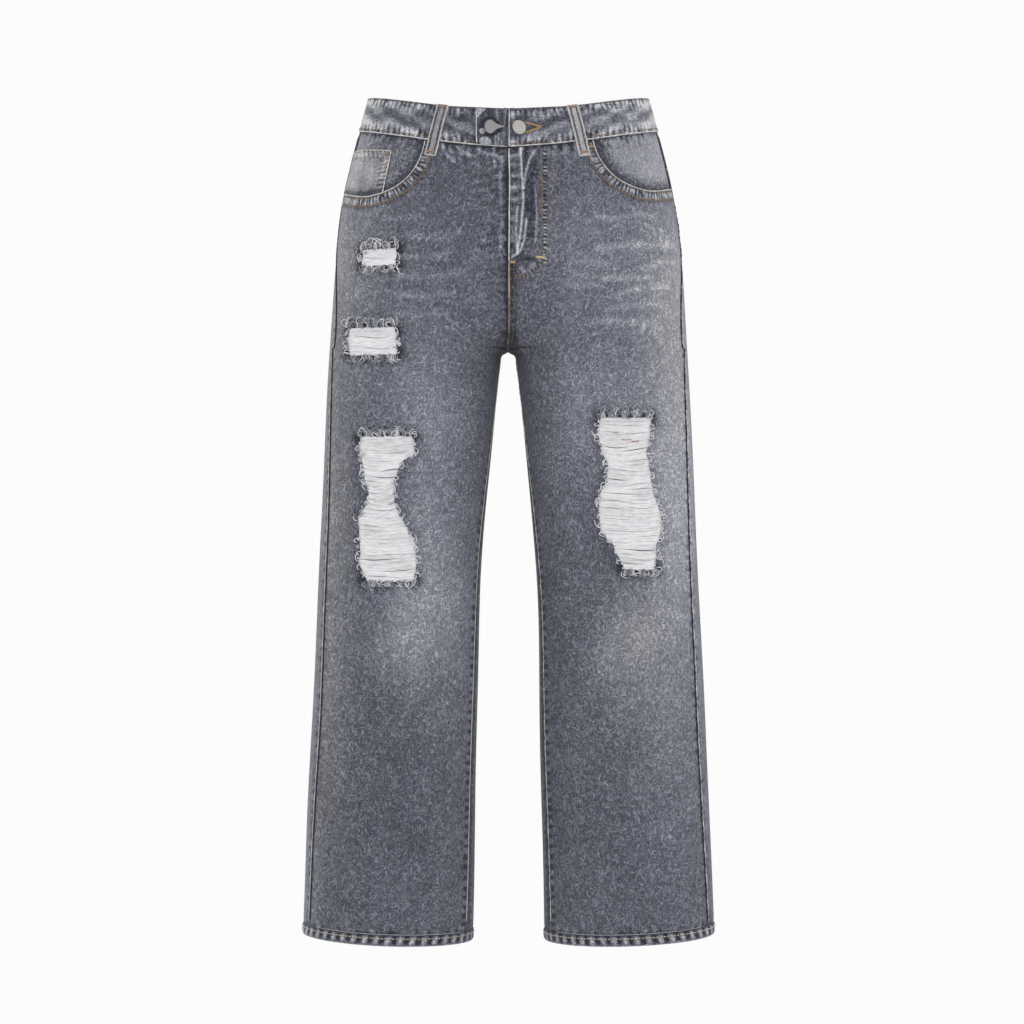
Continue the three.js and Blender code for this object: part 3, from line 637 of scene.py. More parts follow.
def layers_for(side, share, z, periods=0.0, from_seam=9.0, puckered=0.0, dark=0.0, light=0.0, streaked=0.0,
               aged=0.0):
    """The measures that the denim's material reads at each point."""
    flat = cloth_flat(share, z)
    ones = np.ones(np.shape(share))
    x, y, _ = np.moveaxis(read_form(share, z), -1, 0)
    aged = unit(aged + patches(YELLOWED[side], x, np.asarray(z)) * unit(1 - y / 40))
    return {
        "aged": np.stack([aged * ones, 0 * ones, 0 * ones], -1).reshape(-1, 3),
        "cloth": np.stack([flat[..., 0], flat[..., 1], 300.0 * side * ones], -1).reshape(-1, 3),
        "seam": np.stack([periods * ones, from_seam * ones, puckered * ones], -1).reshape(-1, 3),
        # wash: the wash's fading with painted light, the darkening, which is mostly painted shade, and the
        # streaks.
        "wash": np.stack([wash_and_painted_light(side, share, z) + light, dark * ones, streaked * ones],
                         -1).reshape(-1, 3),
    }


def joined(*sets):
    return {key: np.vstack([layers[key] for layers in sets]) for key in sets[0]}


def front_outline(side):
    """A front's cut edge as (share, z) points, and the points of it that are the pocket's mouth,
    the side seam, the hem seam, the inseam and the waist."""
    x, z = spaced(mouth_line(side), 2.5).T
    share = share_at_x(x, z)
    kept = (z < waistband_bottom(share) - GAP) & (share > side_seam(z) + share_of(GAP / 2, z))
    mouth = np.stack([share, z], 1)[kept]
    side_z = np.arange(mouth[-1, 1] - 2, -930, -3.0)
    side_edge = np.stack([side_seam(side_z) + share_of(GAP / 2, side_z), side_z], 1)
    side_edge = side_edge[side_edge[:, 1] > hem_top(side_edge[:, 0]) + 1.5]
    hem_share = np.linspace(side_seam(-935.0) + share_of(GAP / 2, -935.0),
                            inseam(-940.0) - share_of(GAP / 2, -940.0), 110)
    hem_edge = np.stack([hem_share, hem_top(hem_share)], 1)
    inner_z = np.concatenate([np.arange(-936, -283, 3.0), np.arange(-283, CROTCH, 1.0),
                              np.arange(CROTCH, -52, 3.0)])
    inner_edge = np.stack([inseam(inner_z) - share_of(GAP / 2, inner_z), inner_z], 1)
    inner_edge = inner_edge[inner_edge[:, 1] > hem_top(inner_edge[:, 0]) + 1.5]
    top_share = np.linspace(inner_edge[-1, 0], mouth[0, 0], 60)
    top_edge = np.stack([top_share, waistband_bottom(top_share) - GAP], 1)[:-1]
    inner_edge = inner_edge[inner_edge[:, 1] < top_edge[0, 1] - 1]
    return [mouth, side_edge, hem_edge, inner_edge, top_edge]


SHARE_WIDTH = 280  # millimetres of cloth across a whole share, for even triangles
# Where the narrow creases end: down the fly, across it, and below the waistband.
FLY_FOOT, FLY_WIDTH, BAND_CREASES = -206, 48, -80


def cut_sheet(rings, step, fine_step=None):
    """Triangles that fill the first ring of (share, z) points and leave the other rings open."""
    scaled = [ring * [SHARE_WIDTH, 1] for ring in rings]
    low, high = scaled[0].min(0), scaled[0].max(0)
    grid = np.stack(np.meshgrid(np.arange(low[0], high[0], step), np.arange(low[1], high[1], step)), -1)
    grid = grid.reshape(-1, 2)
    grid = grid[inside_ring(grid, scaled[0])]
    for ring in scaled[1:]:
        grid = grid[~inside_ring(grid, ring)]
    for ring in scaled:
        grid = grid[nearest_on(grid, ring, closed=True)[0] > 0.5 * step]
    if fine_step:
        # A closer grid on the fly and below the waistband, where the creases are narrow.
        close = np.stack(np.meshgrid(np.arange(low[0], high[0], fine_step),
                                     np.arange(FLY_FOOT, high[1], fine_step)), -1).reshape(-1, 2)
        x = read_form(close[:, 0] / SHARE_WIDTH, close[:, 1])[:, 0]
        close = close[(close[:, 1] > BAND_CREASES) | (x < FLY_WIDTH)]
        close = close[inside_ring(close, scaled[0])]
        close = close[nearest_on(close, scaled[0], closed=True)[0] > 0.6 * fine_step]
        x = read_form(grid[:, 0] / SHARE_WIDTH, grid[:, 1])[:, 0]
        kept = (grid[:, 1] < FLY_FOOT) | ((grid[:, 1] <= BAND_CREASES) & (x >= FLY_WIDTH))
        grid = np.vstack([grid[kept], close])
    points = np.vstack(scaled + [grid])
    edges, start = [], 0
    for ring in scaled:
        count = len(ring)
        edges += [(start + k, start + (k + 1) % count) for k in range(count)]
        start += count
    _, _, faces, origin, _, _ = delaunay_2d_cdt([tuple(p) for p in points], edges, [], 0, 1e-6)
    source = np.array([o[0] for o in origin])
    faces = source[np.array(faces)]
    middles = points[faces].mean(axis=1)
    unsure = (faces < start).all(axis=1)
    keep = np.ones(len(faces), bool)
    keep[unsure] = inside_ring(middles[unsure], scaled[0])
    for ring in scaled[1:]:
        keep[unsure] &= ~inside_ring(middles[unsure], ring)
    return points / [SHARE_WIDTH, 1], faces[keep]


def rim_faces(counts, inner_start):
    """The narrow faces round each cut edge, from the outer skin to the inner one."""
    faces, start = [], 0
    for count in counts:
        for k in range(count):
            a, b = start + k, start + (k + 1) % count
            faces.append((a, b, inner_start + b, inner_start + a))
        start += count
    return faces


def on_front(x, z):
    """(share, z) places for points given by x and z as seen from the front."""
    return np.stack([share_at_x(x, z), np.broadcast_to(z, np.shape(x))], -1)


def offset_line(line, by):
    """A line in the (x, z) view moved sideways, to the left of its own direction."""
    step = np.gradient(np.asarray(line, float), axis=0)
    step /= np.linalg.norm(step, axis=1, keepdims=True)
    return line + np.stack([-step[:, 1], step[:, 0]], 1) * by


def tubes(centres, out, radius, sides=5):
    """Points and faces of m round yarns of n points each, closed at their ends."""
    centres, out = np.asarray(centres, float), np.broadcast_to(out, np.shape(centres))
    radius = np.broadcast_to(radius, centres.shape[:2])
    along = np.gradient(centres, axis=1)
    across = np.cross(along, out)
    across /= np.linalg.norm(across, axis=-1, keepdims=True).clip(1e-9)
    up = np.cross(across, along)
    up /= np.linalg.norm(up, axis=-1, keepdims=True).clip(1e-9)
    angle = np.arange(sides) * 2 * math.pi / sides
    ring = (across[:, :, None] * np.cos(angle)[:, None] + up[:, :, None] * np.sin(angle)[:, None])
    points = centres[:, :, None] + ring * radius[:, :, None, None]
    index = np.arange(points[..., 0].size).reshape(points.shape[:3])
    a, d = index[:, :-1], index[:, 1:]
    faces = np.stack([a, d, np.roll(d, -1, 2), np.roll(a, -1, 2)], -1).reshape(-1, 4).tolist()
    faces += index[:, 0].tolist() + index[:, -1, ::-1].tolist()
    return points.reshape(-1, 3), faces


def laid_line(side, places, off):
    """A line of (share, z) places on the cloth: its points, which way is out, and the length run."""
    share, z = np.asarray(places, float).T
    line = place(side, share, z, off)
    return line, place(side, share, z, off + 1) - line, run_along(line)


def at_marks(marks, run, values):
    """The values of a line read off at some lengths along it."""
    return np.stack([np.interp(marks, run, values[:, k]) for k in range(3)], -1)


def stitches(side, places, off=0.0, pitch=3.4, length=2.5):
    """Each stitch of a row along a line of (share, z) places: its four points, and which way is out."""
    line, out, run = laid_line(side, places, off)
    count = max(1, int(run[-1] / pitch))
    marks = (run[-1] / count) * (np.arange(count)[:, None] + 0.5) + length * np.linspace(-0.5, 0.5, 4)
    centres, outs = at_marks(marks, run, line), at_marks(marks, run, out)
    return centres + outs * np.array([-0.3, 0.3, 0.3, -0.3])[None, :, None], outs


def cotton_thread(name, shade, worn_shade, twist_mm=0.6):
    """Two-ply spun cotton, dyed and then washed: matt, a little hairy, and paler here and there."""
    material = new_material(name)
    where = add_node(material, "ShaderNodeTexCoord").outputs["Object"]
    worn = add_node(material, "ShaderNodeTexNoise", {"Vector": where, "Scale": 160.0, "Detail": 2.0})
    mixed = add_node(material, "ShaderNodeMix", {"Factor": worn.outputs["Fac"]}, data_type="RGBA")
    mixed.inputs["A"].default_value, mixed.inputs["B"].default_value = colour(shade), colour(worn_shade)
    # The ply's twist, one turn in 0.6 mm, as a bump.
    twist = add_node(material, "ShaderNodeTexWave", {"Vector": where, "Scale": 50 / twist_mm},
                     bands_direction="DIAGONAL")
    bump = add_node(material, "ShaderNodeBump",
                    {"Height": twist.outputs["Fac"], "Strength": 0.4, "Distance": 0.0002})
    shader = add_node(material, "ShaderNodeBsdfPrincipled",
                      {"Base Color": mixed.outputs["Result"], "Normal": bump.outputs[0], "Roughness": 0.8,
                       "Specular IOR Level": 0.3, "Sheen Weight": 0.2})
    add_node(material, "ShaderNodeOutputMaterial", {"Surface": shader.outputs[0]})
    return material


# The threads: brown for most rows, the darkest in the waistband's shadow, tan round the pockets' mouths,
# cream and orange in the bars, and one row bleached almost white.
brown_topstitch = cotton_thread("brown_cotton_topstitch", "#54422f", "#8d7050")
shadowed_topstitch = cotton_thread("dark_cotton_topstitch", "#382c26", "#604a3a")
tan_topstitch = cotton_thread("tan_cotton_topstitch", "#6a523c", "#a18468")
cream_bartack = cotton_thread("cream_cotton_bartack", "#a8946c", "#e4d6b4")
# A seam's fold coloured near black: painted shadow along the seam line.
painted_shadow_fold = cotton_thread("painted_shadow_denim_fold", "#1d1f28", "#373a46")
orange_bartack = cotton_thread("orange_cotton_bartack", "#8a6844", "#bb9c70")
pale_topstitch = cotton_thread("washed_out_cotton_topstitch", "#b9b2a6", "#dedad2")
# A folded edge, rubbed through the dye to the cream core of the yarns.
rubbed_fold = cotton_thread("rubbed_cotton_fold", "#8c8b8d", "#f5f2ed")


def sew(name, rows, material, radius=0.5):
    """All of one thread's stitches on a piece, as one mesh."""
    centres = np.concatenate([row[0] for row in rows])
    outs = np.concatenate([row[1] for row in rows])
    points, faces = tubes(centres, outs, radius * np.array([0.55, 1, 1, 0.55]), sides=5)
    thread = finish_mesh(name, points, faces, material, turned=False)
    return thread


def rubbed_edge(side, places, off=0.0, radius=0.6, seed=0, wear=0.22):
    """A worn fold along a line of places, as the centres and radii of one uneven tube."""
    line, out, run = laid_line(side, places, off)
    marks = np.linspace(0, run[-1], max(3, int(run[-1] / 1.6)))
    centres, outs = at_marks(marks, run, line), at_marks(marks, run, out)
    uneven = 1 + wear * np.sin(marks / 1.9 + seed) * np.sin(marks / 3.1 + 2 * seed)
    radii = radius * uneven * np.clip(np.minimum(marks, run[-1] - marks) / 1.5, 0.35, 1)
    return centres[None], outs[None], radii[None]


def edge_mesh(name, edges, material):
    points, faces, start = [], [], 0
    for centres, outs, radii in edges:
        more, more_faces = tubes(centres, outs, radii, sides=6)
        points.append(more)
        faces += [[index + start for index in face] for face in more_faces]
        start += len(more)
    folds_mesh = finish_mesh(name, np.vstack(points), faces, material, turned=False)
    return folds_mesh


def middle_fold(share, top_z):
    """The fold that closes the seam between the two legs, from a height down to the crotch."""
    z = np.arange(top_z, CROTCH - 2.0, -3.0)
    centres, outs, radii = rubbed_edge(LEFT, np.stack([share + 0 * z, z], 1), -0.7, 0.75)
    centres[..., 0] = 0
    return centres, outs * [0, 1, 1], radii


def seam_bands(*edges):
    """Each point's periods, distance and pucker strength from (distance, along, strength, pitch, reach)."""
    best = np.full(np.shape(edges[0][0]), 1e9)
    periods, strength = np.zeros_like(best), np.zeros_like(best)
    for away, along, weight, pitch, reach in edges:
        nearer = away < best
        best = np.where(nearer, away, best)
        periods = np.where(nearer, along / pitch, periods)
        fade = weight * unit(1.15 - away / reach) * np.clip(away / 2, 0.3, 1)
        strength = np.where(nearer, fade, strength)
    return periods, best, strength


def front_shade(side, x, z, flat, from_seam, past_row, flat_edges, flat_rips):
    """How much darker each place on a front is than the wash alone leaves it, mostly painted shade: in the
    seams' hollows, round the rips, and past the outer row of the pocket's mouth."""
    _, side_edge, _, inseam_edge, waist_edge = flat_edges
    dark = 0.16 * hump(from_seam, 0, PUCKER_DEPTH)
    # Painted shadow round each rip, deepest above and below it, under the curled ends.
    for ring in flat_rips:
        away = nearest_on(flat, ring, closed=True)[0]
        ends = np.minimum(np.abs(z - ring[:, 1].max()), np.abs(z - ring[:, 1].min()))
        dark = dark + hump(away, 0, 8) * (0.12 + 0.5 * hump(ends, 0, 10))
    # A painted shadow under the waistband.
    dark = dark + 0.22 * hump(nearest_on(flat, waist_edge)[0], 0, 4.5)
    # Painted shade: the right front's edge lies in the fly's shade, and the cloth round the crotch is painted
    # dark as shade.
    if side == RIGHT:
        dark = dark + 0.3 * hump(x, 0, 4.0) * unit((-52 - z) / 15) * (z > CROTCH - 8)
    # A painted shadow past the outer row of the pocket's mouth.
    dark = dark + 0.2 * hump(past_row, 1.5, 1.6)
    dark = dark + 0.4 * hump(x, 4, 9) * hump(z, CROTCH - 4, 13)
    if side == LEFT:
        # Painted shade in the valley between the fly's creases and its rows; the seam's own strip under the
        # zip is made darker.
        valley = hump(x, 26, 8) * unit((-58 - z) / 12) * unit((z + 166) / 14)
        below = unit((-178 - z) / 6) * unit((z + 272) / 8)
        dark = dark + 0.2 * valley + 0.16 * below * unit((9.5 - x) / 1.5)
        dark = dark + 0.25 * hump(np.hypot((x - 19) / 1.6, z + 178), 0, 7)
        # Between the two rows where they curve in, the cloth stands in small ridges, with their shade and
        # light painted on.
        row_curve = np.array([(40.8, -172), (37.5, -181), (30, -189), (20, -195), (6, -198)])
        from_rows, along_rows = nearest_on(np.stack([x, z], 1), row_curve)
        between_curves = 0.12 - 0.45 * np.sin(along_rows * 2 * math.pi / ROW_RIDGES)
        dark = dark + between_curves * hump(from_rows, 0, 1.8)
        dark = dark + 0.25 * unit((9.5 - x) / 1.5) * unit((-245 - z) / 20) * (z > CROTCH - 4)
    # The inseam's puckers: painted shade in hollows about 12 mm apart, with a little painted light between
    # them.
    from_inseam, along_inseam = nearest_on(flat, inseam_edge)
    waves = np.sin(along_inseam / 1.75 + 1.4 * np.sin(along_inseam / 23))
    waves = waves + 0.3 * np.sin(along_inseam / 5.1)
    between = hump(from_inseam, 13, 3.4) * unit((CROTCH - 20 - z) / 60)
    dark = dark + (0.8 * unit(2.2 * waves - 0.7) - 0.18 * unit(-waves)) * between
    dark = dark + 0.1 * hump(from_inseam, 4, 3) * (z < CROTCH)
    # Painted shade in the side seam's hollows, smaller.
    from_side, along_side = nearest_on(flat, side_edge)
    hollows = unit(2.2 * np.sin(along_side / 2.2 + 1.4 * np.sin(along_side / 31)) - 0.9)
    dark = dark + (0.3 if side == LEFT else 0.12) * hollows * hump(from_side, 4.0, 2.6) * (z < -250)
    return dark


# Along a front's mouth, side seam, hem, inseam and waist: how strongly the edge is puckered, the pitch
# of its waves and how far in they reach.
EDGE_WAVES = [(1.75, 4.3, 14), (0.35, 11.0, 12), (0.8, 12.0, 8), (0.7, 10.0, 9), (0.95, 10.0, 20)]
for side, word in BOTH_SIDES:
    edges = front_outline(side)
    set_in = 0.9 * (side == RIGHT)  # the right mouth's outer rows lie a little further in
    rings = [np.vstack(edges)]
    for rip, (rip_side, _, _) in RIPS.items():
        if rip_side == side:
            rings.append(on_front(*rip_outline(rip).T))
    counts = [len(ring) for ring in rings]
    skins, triangles = zip(cut_sheet(rings, 2.8, 1.5), cut_sheet(rings, 8.0))
    flat_edges = [cloth_flat(edge[:, 0], edge[:, 1]) for edge in edges]
    flat_rips = [cloth_flat(ring[:, 0], ring[:, 1]) for ring in rings[1:]]
    points, sets = [], []
    for skin, off in zip(skins, (0.0, -DENIM)):
        share, z = skin.T
        flat = cloth_flat(share, z)
        periods, distance, strength = seam_bands(
            *((*nearest_on(flat, line), *waves) for line, waves in zip(flat_edges, EDGE_WAVES)))
        x, _, _ = np.moveaxis(read_form(share, z), -1, 0)
        fly = unit((z + 205) / 20) * unit((46 - x) / 8)
        strength = np.maximum(strength, 0.3 * fly * unit(1 - (x - 20) / 30))
        ridges = np.clip(crease_height(side, x, z), -0.3, 1) * fly
        if side == LEFT:
            between_rows = hump(x, 40.8, 2.6) * unit((z + 186) / 6)
            periods = np.where(between_rows > 0.2, z / ROW_RIDGES, periods)
            strength = np.maximum(strength, 1.7 * between_rows)
        dip = -0.7 * hump(distance, 0, PUCKER_DEPTH) * (z < -100) if off == 0 else 0
        points.append(place(side, share, z, off + dip))
        streaks = unit(1 - np.abs(read_form(share, z)[..., 1]) / 50)
        # The mouth's turned-back edge lies double between its rows.
        from_mouth = nearest_on(flat, flat_edges[0])[0]
        outer_row = 11.0 + set_in
        turned_back = (0.12 if side == RIGHT else 0.3) * unit((outer_row - from_mouth) / 1.5)
        turned_back = turned_back * unit((from_mouth - 2.5) / 2) + 0.3 * ridges
        dark = front_shade(side, x, z, flat, distance, from_mouth - outer_row, flat_edges, flat_rips)
        sets.append(layers_for(side, share, z, periods, distance, strength, dark, turned_back, streaks))
    outer_count = len(skins[0])
    faces = triangles[0].tolist() + (triangles[1] + outer_count).tolist() + rim_faces(counts, outer_count)
    front = finish_mesh(f"front_{word}_cloth", np.vstack(points), faces, denim, joined(*sets),
                        lining=(len(triangles[0]), len(triangles[0]) + len(triangles[1]), denim_inside))
    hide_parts(f"front_{word}")

    mouth = spaced(mouth_line(side), 2.0)
    mouth = mouth[mouth[:, 0] < 198]
    rows, tan_rows = [], []
    for by in (2.4, 10.2 + set_in, 11.3 + set_in):
        x, z = offset_line(mouth, -by).T
        kept = z < waistband_bottom(share_at_x(x, z)) - 1.5
        (rows if by < 3 else tan_rows).append(stitches(side, on_front(x[kept], z[kept]), 0.1, 3.2))
    seam_z = np.arange(-105.0, -180.0, -3.0)
    rows.append(stitches(side, np.stack([side_seam(seam_z) + share_of(3.0, seam_z), seam_z], 1), 0.1))
    fold = [rubbed_edge(side, on_front(*mouth[mouth[:, 1] < -38].T), -0.35, 0.75, 1 + side)]
    tacks, cream_tacks = [], []
    if side == LEFT:
        # The fly: a fold down the middle, and two rows that curve in together to the seam under the zip.
        for line in ([(37, -52), (38.5, -108), (36.5, -163), (34, -176), (28, -186), (18, -194),
                      (6, -197)],
                     [(43.5, -52), (45.5, -97), (44.5, -140), (43, -166), (39.5, -182), (31, -191),
                      (19, -197), (6, -199)]):
            line = spaced(line, 1.5)
            for _ in range(6):
                line[1:-1] = (line[:-2] + line[2:]) / 2
            tan_rows.append(stitches(side, on_front(*line.T), 0.15, 3.4))
        for x0, z0, x1, z1 in ((30.5, -175.5, 41.5, -176), (1, -181.5, 8, -181.5)):
            for shift in (-0.8, 0.0, 0.8):
                bar = np.stack([np.linspace(x0, x1, 6), np.linspace(z0 + shift, z1 + shift, 6)], 1)
                (cream_tacks if x0 > 20 or shift > 0 else tacks).append(
                    stitches(side, on_front(*bar.T), 0.5, 14.0, x1 - x0))
        middle_z = np.arange(-52.0, -262.0, -3.0)
        wander = 0.6 + 1.3 * hump(middle_z, -92, 26) + 0.5 * hump(middle_z, -140, 16)
        places = np.stack([inseam(middle_z) - share_of(wander, middle_z), middle_z], 1)
        fold.append(rubbed_edge(side, places[:44], 0.3, 0.78, 3))
        fold.append(rubbed_edge(side, places[43:58], 0.15, 0.45, 5))
        fold.append(rubbed_edge(side, places[57:], 0.1, 0.3, 6))
        # The seam under the fly is closed by a near-black fold: painted shadow.
        edge_mesh("crotch_seam_painted_shadow_edge", [middle_fold(1, -183)], painted_shadow_fold)
        top = np.stack([np.linspace(92, 94.5, 5), np.linspace(-44, -49, 5)], 1)
        for shift in (-0.9, 0, 0.9):
            tacks.append(stitches(side, on_front(top[:, 0] + shift, top[:, 1]), 0.5, 7.0, 6.0))
        seam_z = np.arange(-184.0, -270.0, -3.0)
        for by in (2.4, 8.2):
            places = np.stack([inseam(seam_z) - share_of(by, seam_z), seam_z], 1)
            rows.append(stitches(side, places, 0.1))
    sew(f"front_topstitching_{word}", rows, brown_topstitch)
    sew(f"front_tan_topstitching_{word}", tan_rows, tan_topstitch)
    edge_mesh(f"front_rubbed_edges_{word}", fold, rubbed_fold)
    if tacks:
        sew(f"front_bartacks_{word}", tacks, orange_bartack, 0.5)
        sew(f"front_cream_bartacks_{word}", cream_tacks, cream_bartack, 0.5)
    # The leg seams: one folded edge is rubbed cream, and along the other runs a near-black line of painted
    # shadow.
    seam_z = np.arange(-264.0, -931.0, -3.0)
    rubbed, painted_shadow = [], []
    for lines, seam_line, steps in (
            (rubbed, inseam, ((-8.0, 0.45, 4),)), (painted_shadow, inseam, ((-5.5, 0.5, 2),)),
            (rubbed, side_seam, ((-1.4, 0.65, 1),)), (painted_shadow, side_seam, ((0.5, 0.85, 5),))):
        for by, radius, seed in steps:
            run = np.arange(-107.0, -931.0, -3.0) if lines is painted_shadow else seam_z
            run = run[run < CROTCH - 8] if seam_line is inseam else run
            lines.append(rubbed_edge(side, np.stack([seam_line(run) + share_of(by, run), run], 1), 0.25,
                                     radius, seed, 0.22 if side == RIGHT else 0.75))
    # Beside the pocket facing only a thin dark line of painted shadow shows.
    run = np.arange(-26.0, -110.0, -3.0)
    painted_shadow.append(rubbed_edge(side, np.stack([side_seam(run) + share_of(0.3, run), run], 1), 0.1, 0.5, 5))
    edge_mesh(f"leg_seam_rubbed_edges_{word}", rubbed, rubbed_fold)
    edge_mesh(f"leg_seam_painted_shadow_edges_{word}", painted_shadow, painted_shadow_fold)


# ---- Backs and yokes ----
# Each leg's back is one piece from the yoke to the hem, and wraps a little round the leg at the inseam.
# The yoke is the shaped band above it that lets the flat cloth follow the seat.
def wall(side, share, z, inner_off, outer_off, closed=False):
    """Two skins of cloth over a grid of places, rows down and columns across, joined round the rim:
    the points, the faces, and the range of faces that are the inner skin."""
    rows, columns = share.shape
    points = np.vstack([place(side, share, z, outer_off).reshape(-1, 3),
                        place(side, share, z, inner_off).reshape(-1, 3)])
    index = np.arange(rows * columns).reshape(rows, columns)
    ring = np.hstack([index, index[:, :1]]) if closed else index
    skin = np.stack([ring[:-1, :-1], ring[:-1, 1:], ring[1:, 1:], ring[1:, :-1]], -1).reshape(-1, 4)
    shift = rows * columns
    faces = skin.tolist() + (skin[:, ::-1] + shift).tolist()
    if closed:
        for row in (ring[0], ring[-1]):
            faces += [(a, b, b + shift, a + shift) for a, b in zip(row[:-1], row[1:])]
    else:
        rim = np.concatenate([index[0], index[1:, -1], index[-1, -2::-1], index[-2:0:-1, 0]])
        faces += [(a, b, b + shift, a + shift) for a, b in zip(rim, np.roll(rim, -1))]
    return points, faces, (len(skin), 2 * len(skin))


def grid_of(across, down):
    """Shares from 0 to 1 across and down, over a grid of that many steps."""
    a, b = np.meshgrid(np.linspace(0, 1, across + 1), np.linspace(0, 1, down + 1))
    return a, b


def yoke_bottom(share):
    return YOKE_SIDE - 42 * np.abs(share)


for side, word in BOTH_SIDES:
    # Columns stand closer at the two seams, where the puckers are.
    a, b = grid_of(78, 330)
    a = a - 0.11 * np.sin(2 * math.pi * a)
    level = YOKE_SIDE + b * (-938 - YOKE_SIDE)
    edge = share_of(GAP / 2, level)
    share = (side_seam(level) - edge) * (1 - a) + (inseam(level) - 2 + edge) * a
    z = (yoke_bottom(share) - GAP) * (1 - b) + hem_top(share) * b
    length = read_form(np.clip(share, -1, 1), z)[..., 2]
    width = length[:, :1] - length[:, -1:]
    across = width * a
    periods, distance, strength = seam_bands(
        (across, z, 0.35, 11.0, 12), (width - across, z, 0.5, 10.0, 10),
        (np.abs(z - hem_top(share)), length, 0.8, 12.0, 8),
        (np.abs(z - yoke_bottom(share)), length, 0.7, 9.0, 12))
    # Painted shade in the seams' hollows, and in the side seam's puckers low on the leg.
    dark = 0.16 * hump(distance, 0, PUCKER_DEPTH)
    hollows = unit(2.2 * np.sin(z / 2.15 + 1.4 * np.sin(z / 31)) - 0.8)
    dark = dark + (0.4 if side == RIGHT else 0.15) * hollows * hump(across, 5.5, 2.8) * (z < -250)
    dip = -0.6 * hump(distance, 0, PUCKER_DEPTH)
    streaks = unit(1 - np.abs(read_form(share, z)[..., 1]) / 50)
    points, faces, inner = wall(side, share, z, -DENIM, dip)
    layers = layers_for(side, share, z, periods, distance, strength, dark, 0.0, streaks)
    back = finish_mesh(f"back_{word}_cloth", points, faces, denim, joined(layers, layers),
                       lining=(*inner, denim_inside))
    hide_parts(f"back_{word}")

    a, b = grid_of(80, 16)
    level = BAND_SEAM + b * (yoke_bottom(a) - BAND_SEAM)
    edge = share_of(GAP / 2, level)
    share = (side_seam(level) - edge) * (1 - a) + (-1 + edge) * a
    z = (waistband_bottom(share) - GAP) * (1 - b) + yoke_bottom(share) * b
    length = read_form(share, z)[..., 2]
    periods, distance, strength = seam_bands(
        (np.abs(z - waistband_bottom(share)), length, 0.7, 9.0, 14),
        (np.abs(z - yoke_bottom(share)), length, 0.8, 9.0, 9))
    # Painted shade in the seams' hollows.
    dark = 0.14 * hump(distance, 0, PUCKER_DEPTH)
    points, faces, inner = wall(side, share, z, -DENIM, -0.5 * hump(distance, 0, PUCKER_DEPTH))
    layers = layers_for(side, share, z, periods, distance, strength, dark)
    yoke = finish_mesh(f"yoke_{word}_cloth", points, faces, denim, joined(layers, layers),
                       lining=(*inner, denim_inside))
    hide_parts(f"yoke_{word}")

    # Flat-felled seams: two rows beside the yoke seam and the seat seam.
    rows = []
    seat_share = np.linspace(side_seam(YOKE_SIDE), -0.985, 60)
    for by in (2.5, 8.5):
        rows.append(stitches(side, np.stack([seat_share, yoke_bottom(seat_share) + by], 1), 0.1))
        seat_z = np.arange(-24.0, -268.0, -3.0)
        if side == LEFT:
            rows.append(stitches(side, np.stack([-1 + share_of(by, seat_z, False), seat_z], 1), 0.1))
    sew(f"back_topstitching_{word}", rows, brown_topstitch)

# The seat seam's own fold, which closes it from the waistband to the crotch, near black as painted shadow.
edge_mesh("seat_seam_painted_shadow_edge", [middle_fold(-1, -24)], painted_shadow_fold)


# ---- Back pockets ----
# A five-sided patch on each side of the seat, its edges folded under and sewn down with two rows, its
# mouth hemmed. They lie flat on the back and are tacked at the top corners.
for side, word in BOTH_SIDES:
    a, b = grid_of(44, 48)
    left_edge, right_edge = 27 + 9 * b, 149 - 5 * b
    x = left_edge * (1 - a) + right_edge * a
    bottom = -240 - 20 * (1 - np.abs(2 * a - 1))
    z = -122 * (1 - b) + bottom * b
    share = share_at_x(x, z, False)
    distance = np.minimum.reduce([(x - left_edge), (right_edge - x), (-122 - z), (z - bottom)])
    along = np.where(np.minimum(x - left_edge, right_edge - x) < np.minimum(-122 - z, z - bottom), z, x)
    strength = 0.8 * unit(1.15 - distance / 11)
    rounded = -0.7 * hump(distance, 0, 0.9)
    points, faces, _ = wall(side, share, z, 0.8, 2.0 + rounded)
    layers = layers_for(side, share, z, along / 8.0, distance, strength, 0.0,
                        0.12 + 0.4 * hump(distance, 0, 1.5))
    pocket = finish_mesh(f"back_pocket_{word}_cloth", points, faces, denim, joined(layers, layers))
    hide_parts(f"back_pocket_{word}")
    rows, tacks = [], []
    for by in (2.5, 8.5):
        line = np.array([[27.5 + by, -124], [36 + by, -240 + 0.6 * by], [90, -260 + 1.05 * by],
                         [144 - by, -240 + 0.6 * by], [148.5 - by, -124]])
        x, z = spaced(line, 2.5).T
        rows.append(stitches(side, np.stack([share_at_x(x, z, False), z], 1), 2.0))
    for drop in (3.0, 13.0):
        x = np.linspace(29, 147, 50)
        z = np.full(50, -122 - drop)
        rows.append(stitches(side, np.stack([share_at_x(x, z, False), z], 1), 2.0))
    for corner in (31, 145):
        for shift in (-0.9, 0, 0.9):
            z = np.linspace(-124, -132, 5)
            x = np.full(5, corner + shift)
            tacks.append(stitches(side, np.stack([share_at_x(x, z, False), z], 1), 2.2, 8.0, 7.4))
    sew(f"back_pocket_topstitching_{word}", rows, brown_topstitch)
    sew(f"back_pocket_bartacks_{word}", tacks, orange_bartack, 0.5)


# ---- Pocket facings and the coin pocket ----
# The denim that shows in a front pocket's mouth is a facing sewn to the pocket bag. The right one has
# the small coin pocket on it, with a hemmed top and two rows down its free side.
# The same denim where the wash took more of the dye, so it is paler all over.
worn_denim = stone_washed_twill("paler_stone_washed_denim", "#3d404c", "#85868f", "#b3b3ba", "#dcdbdd", 0.9)

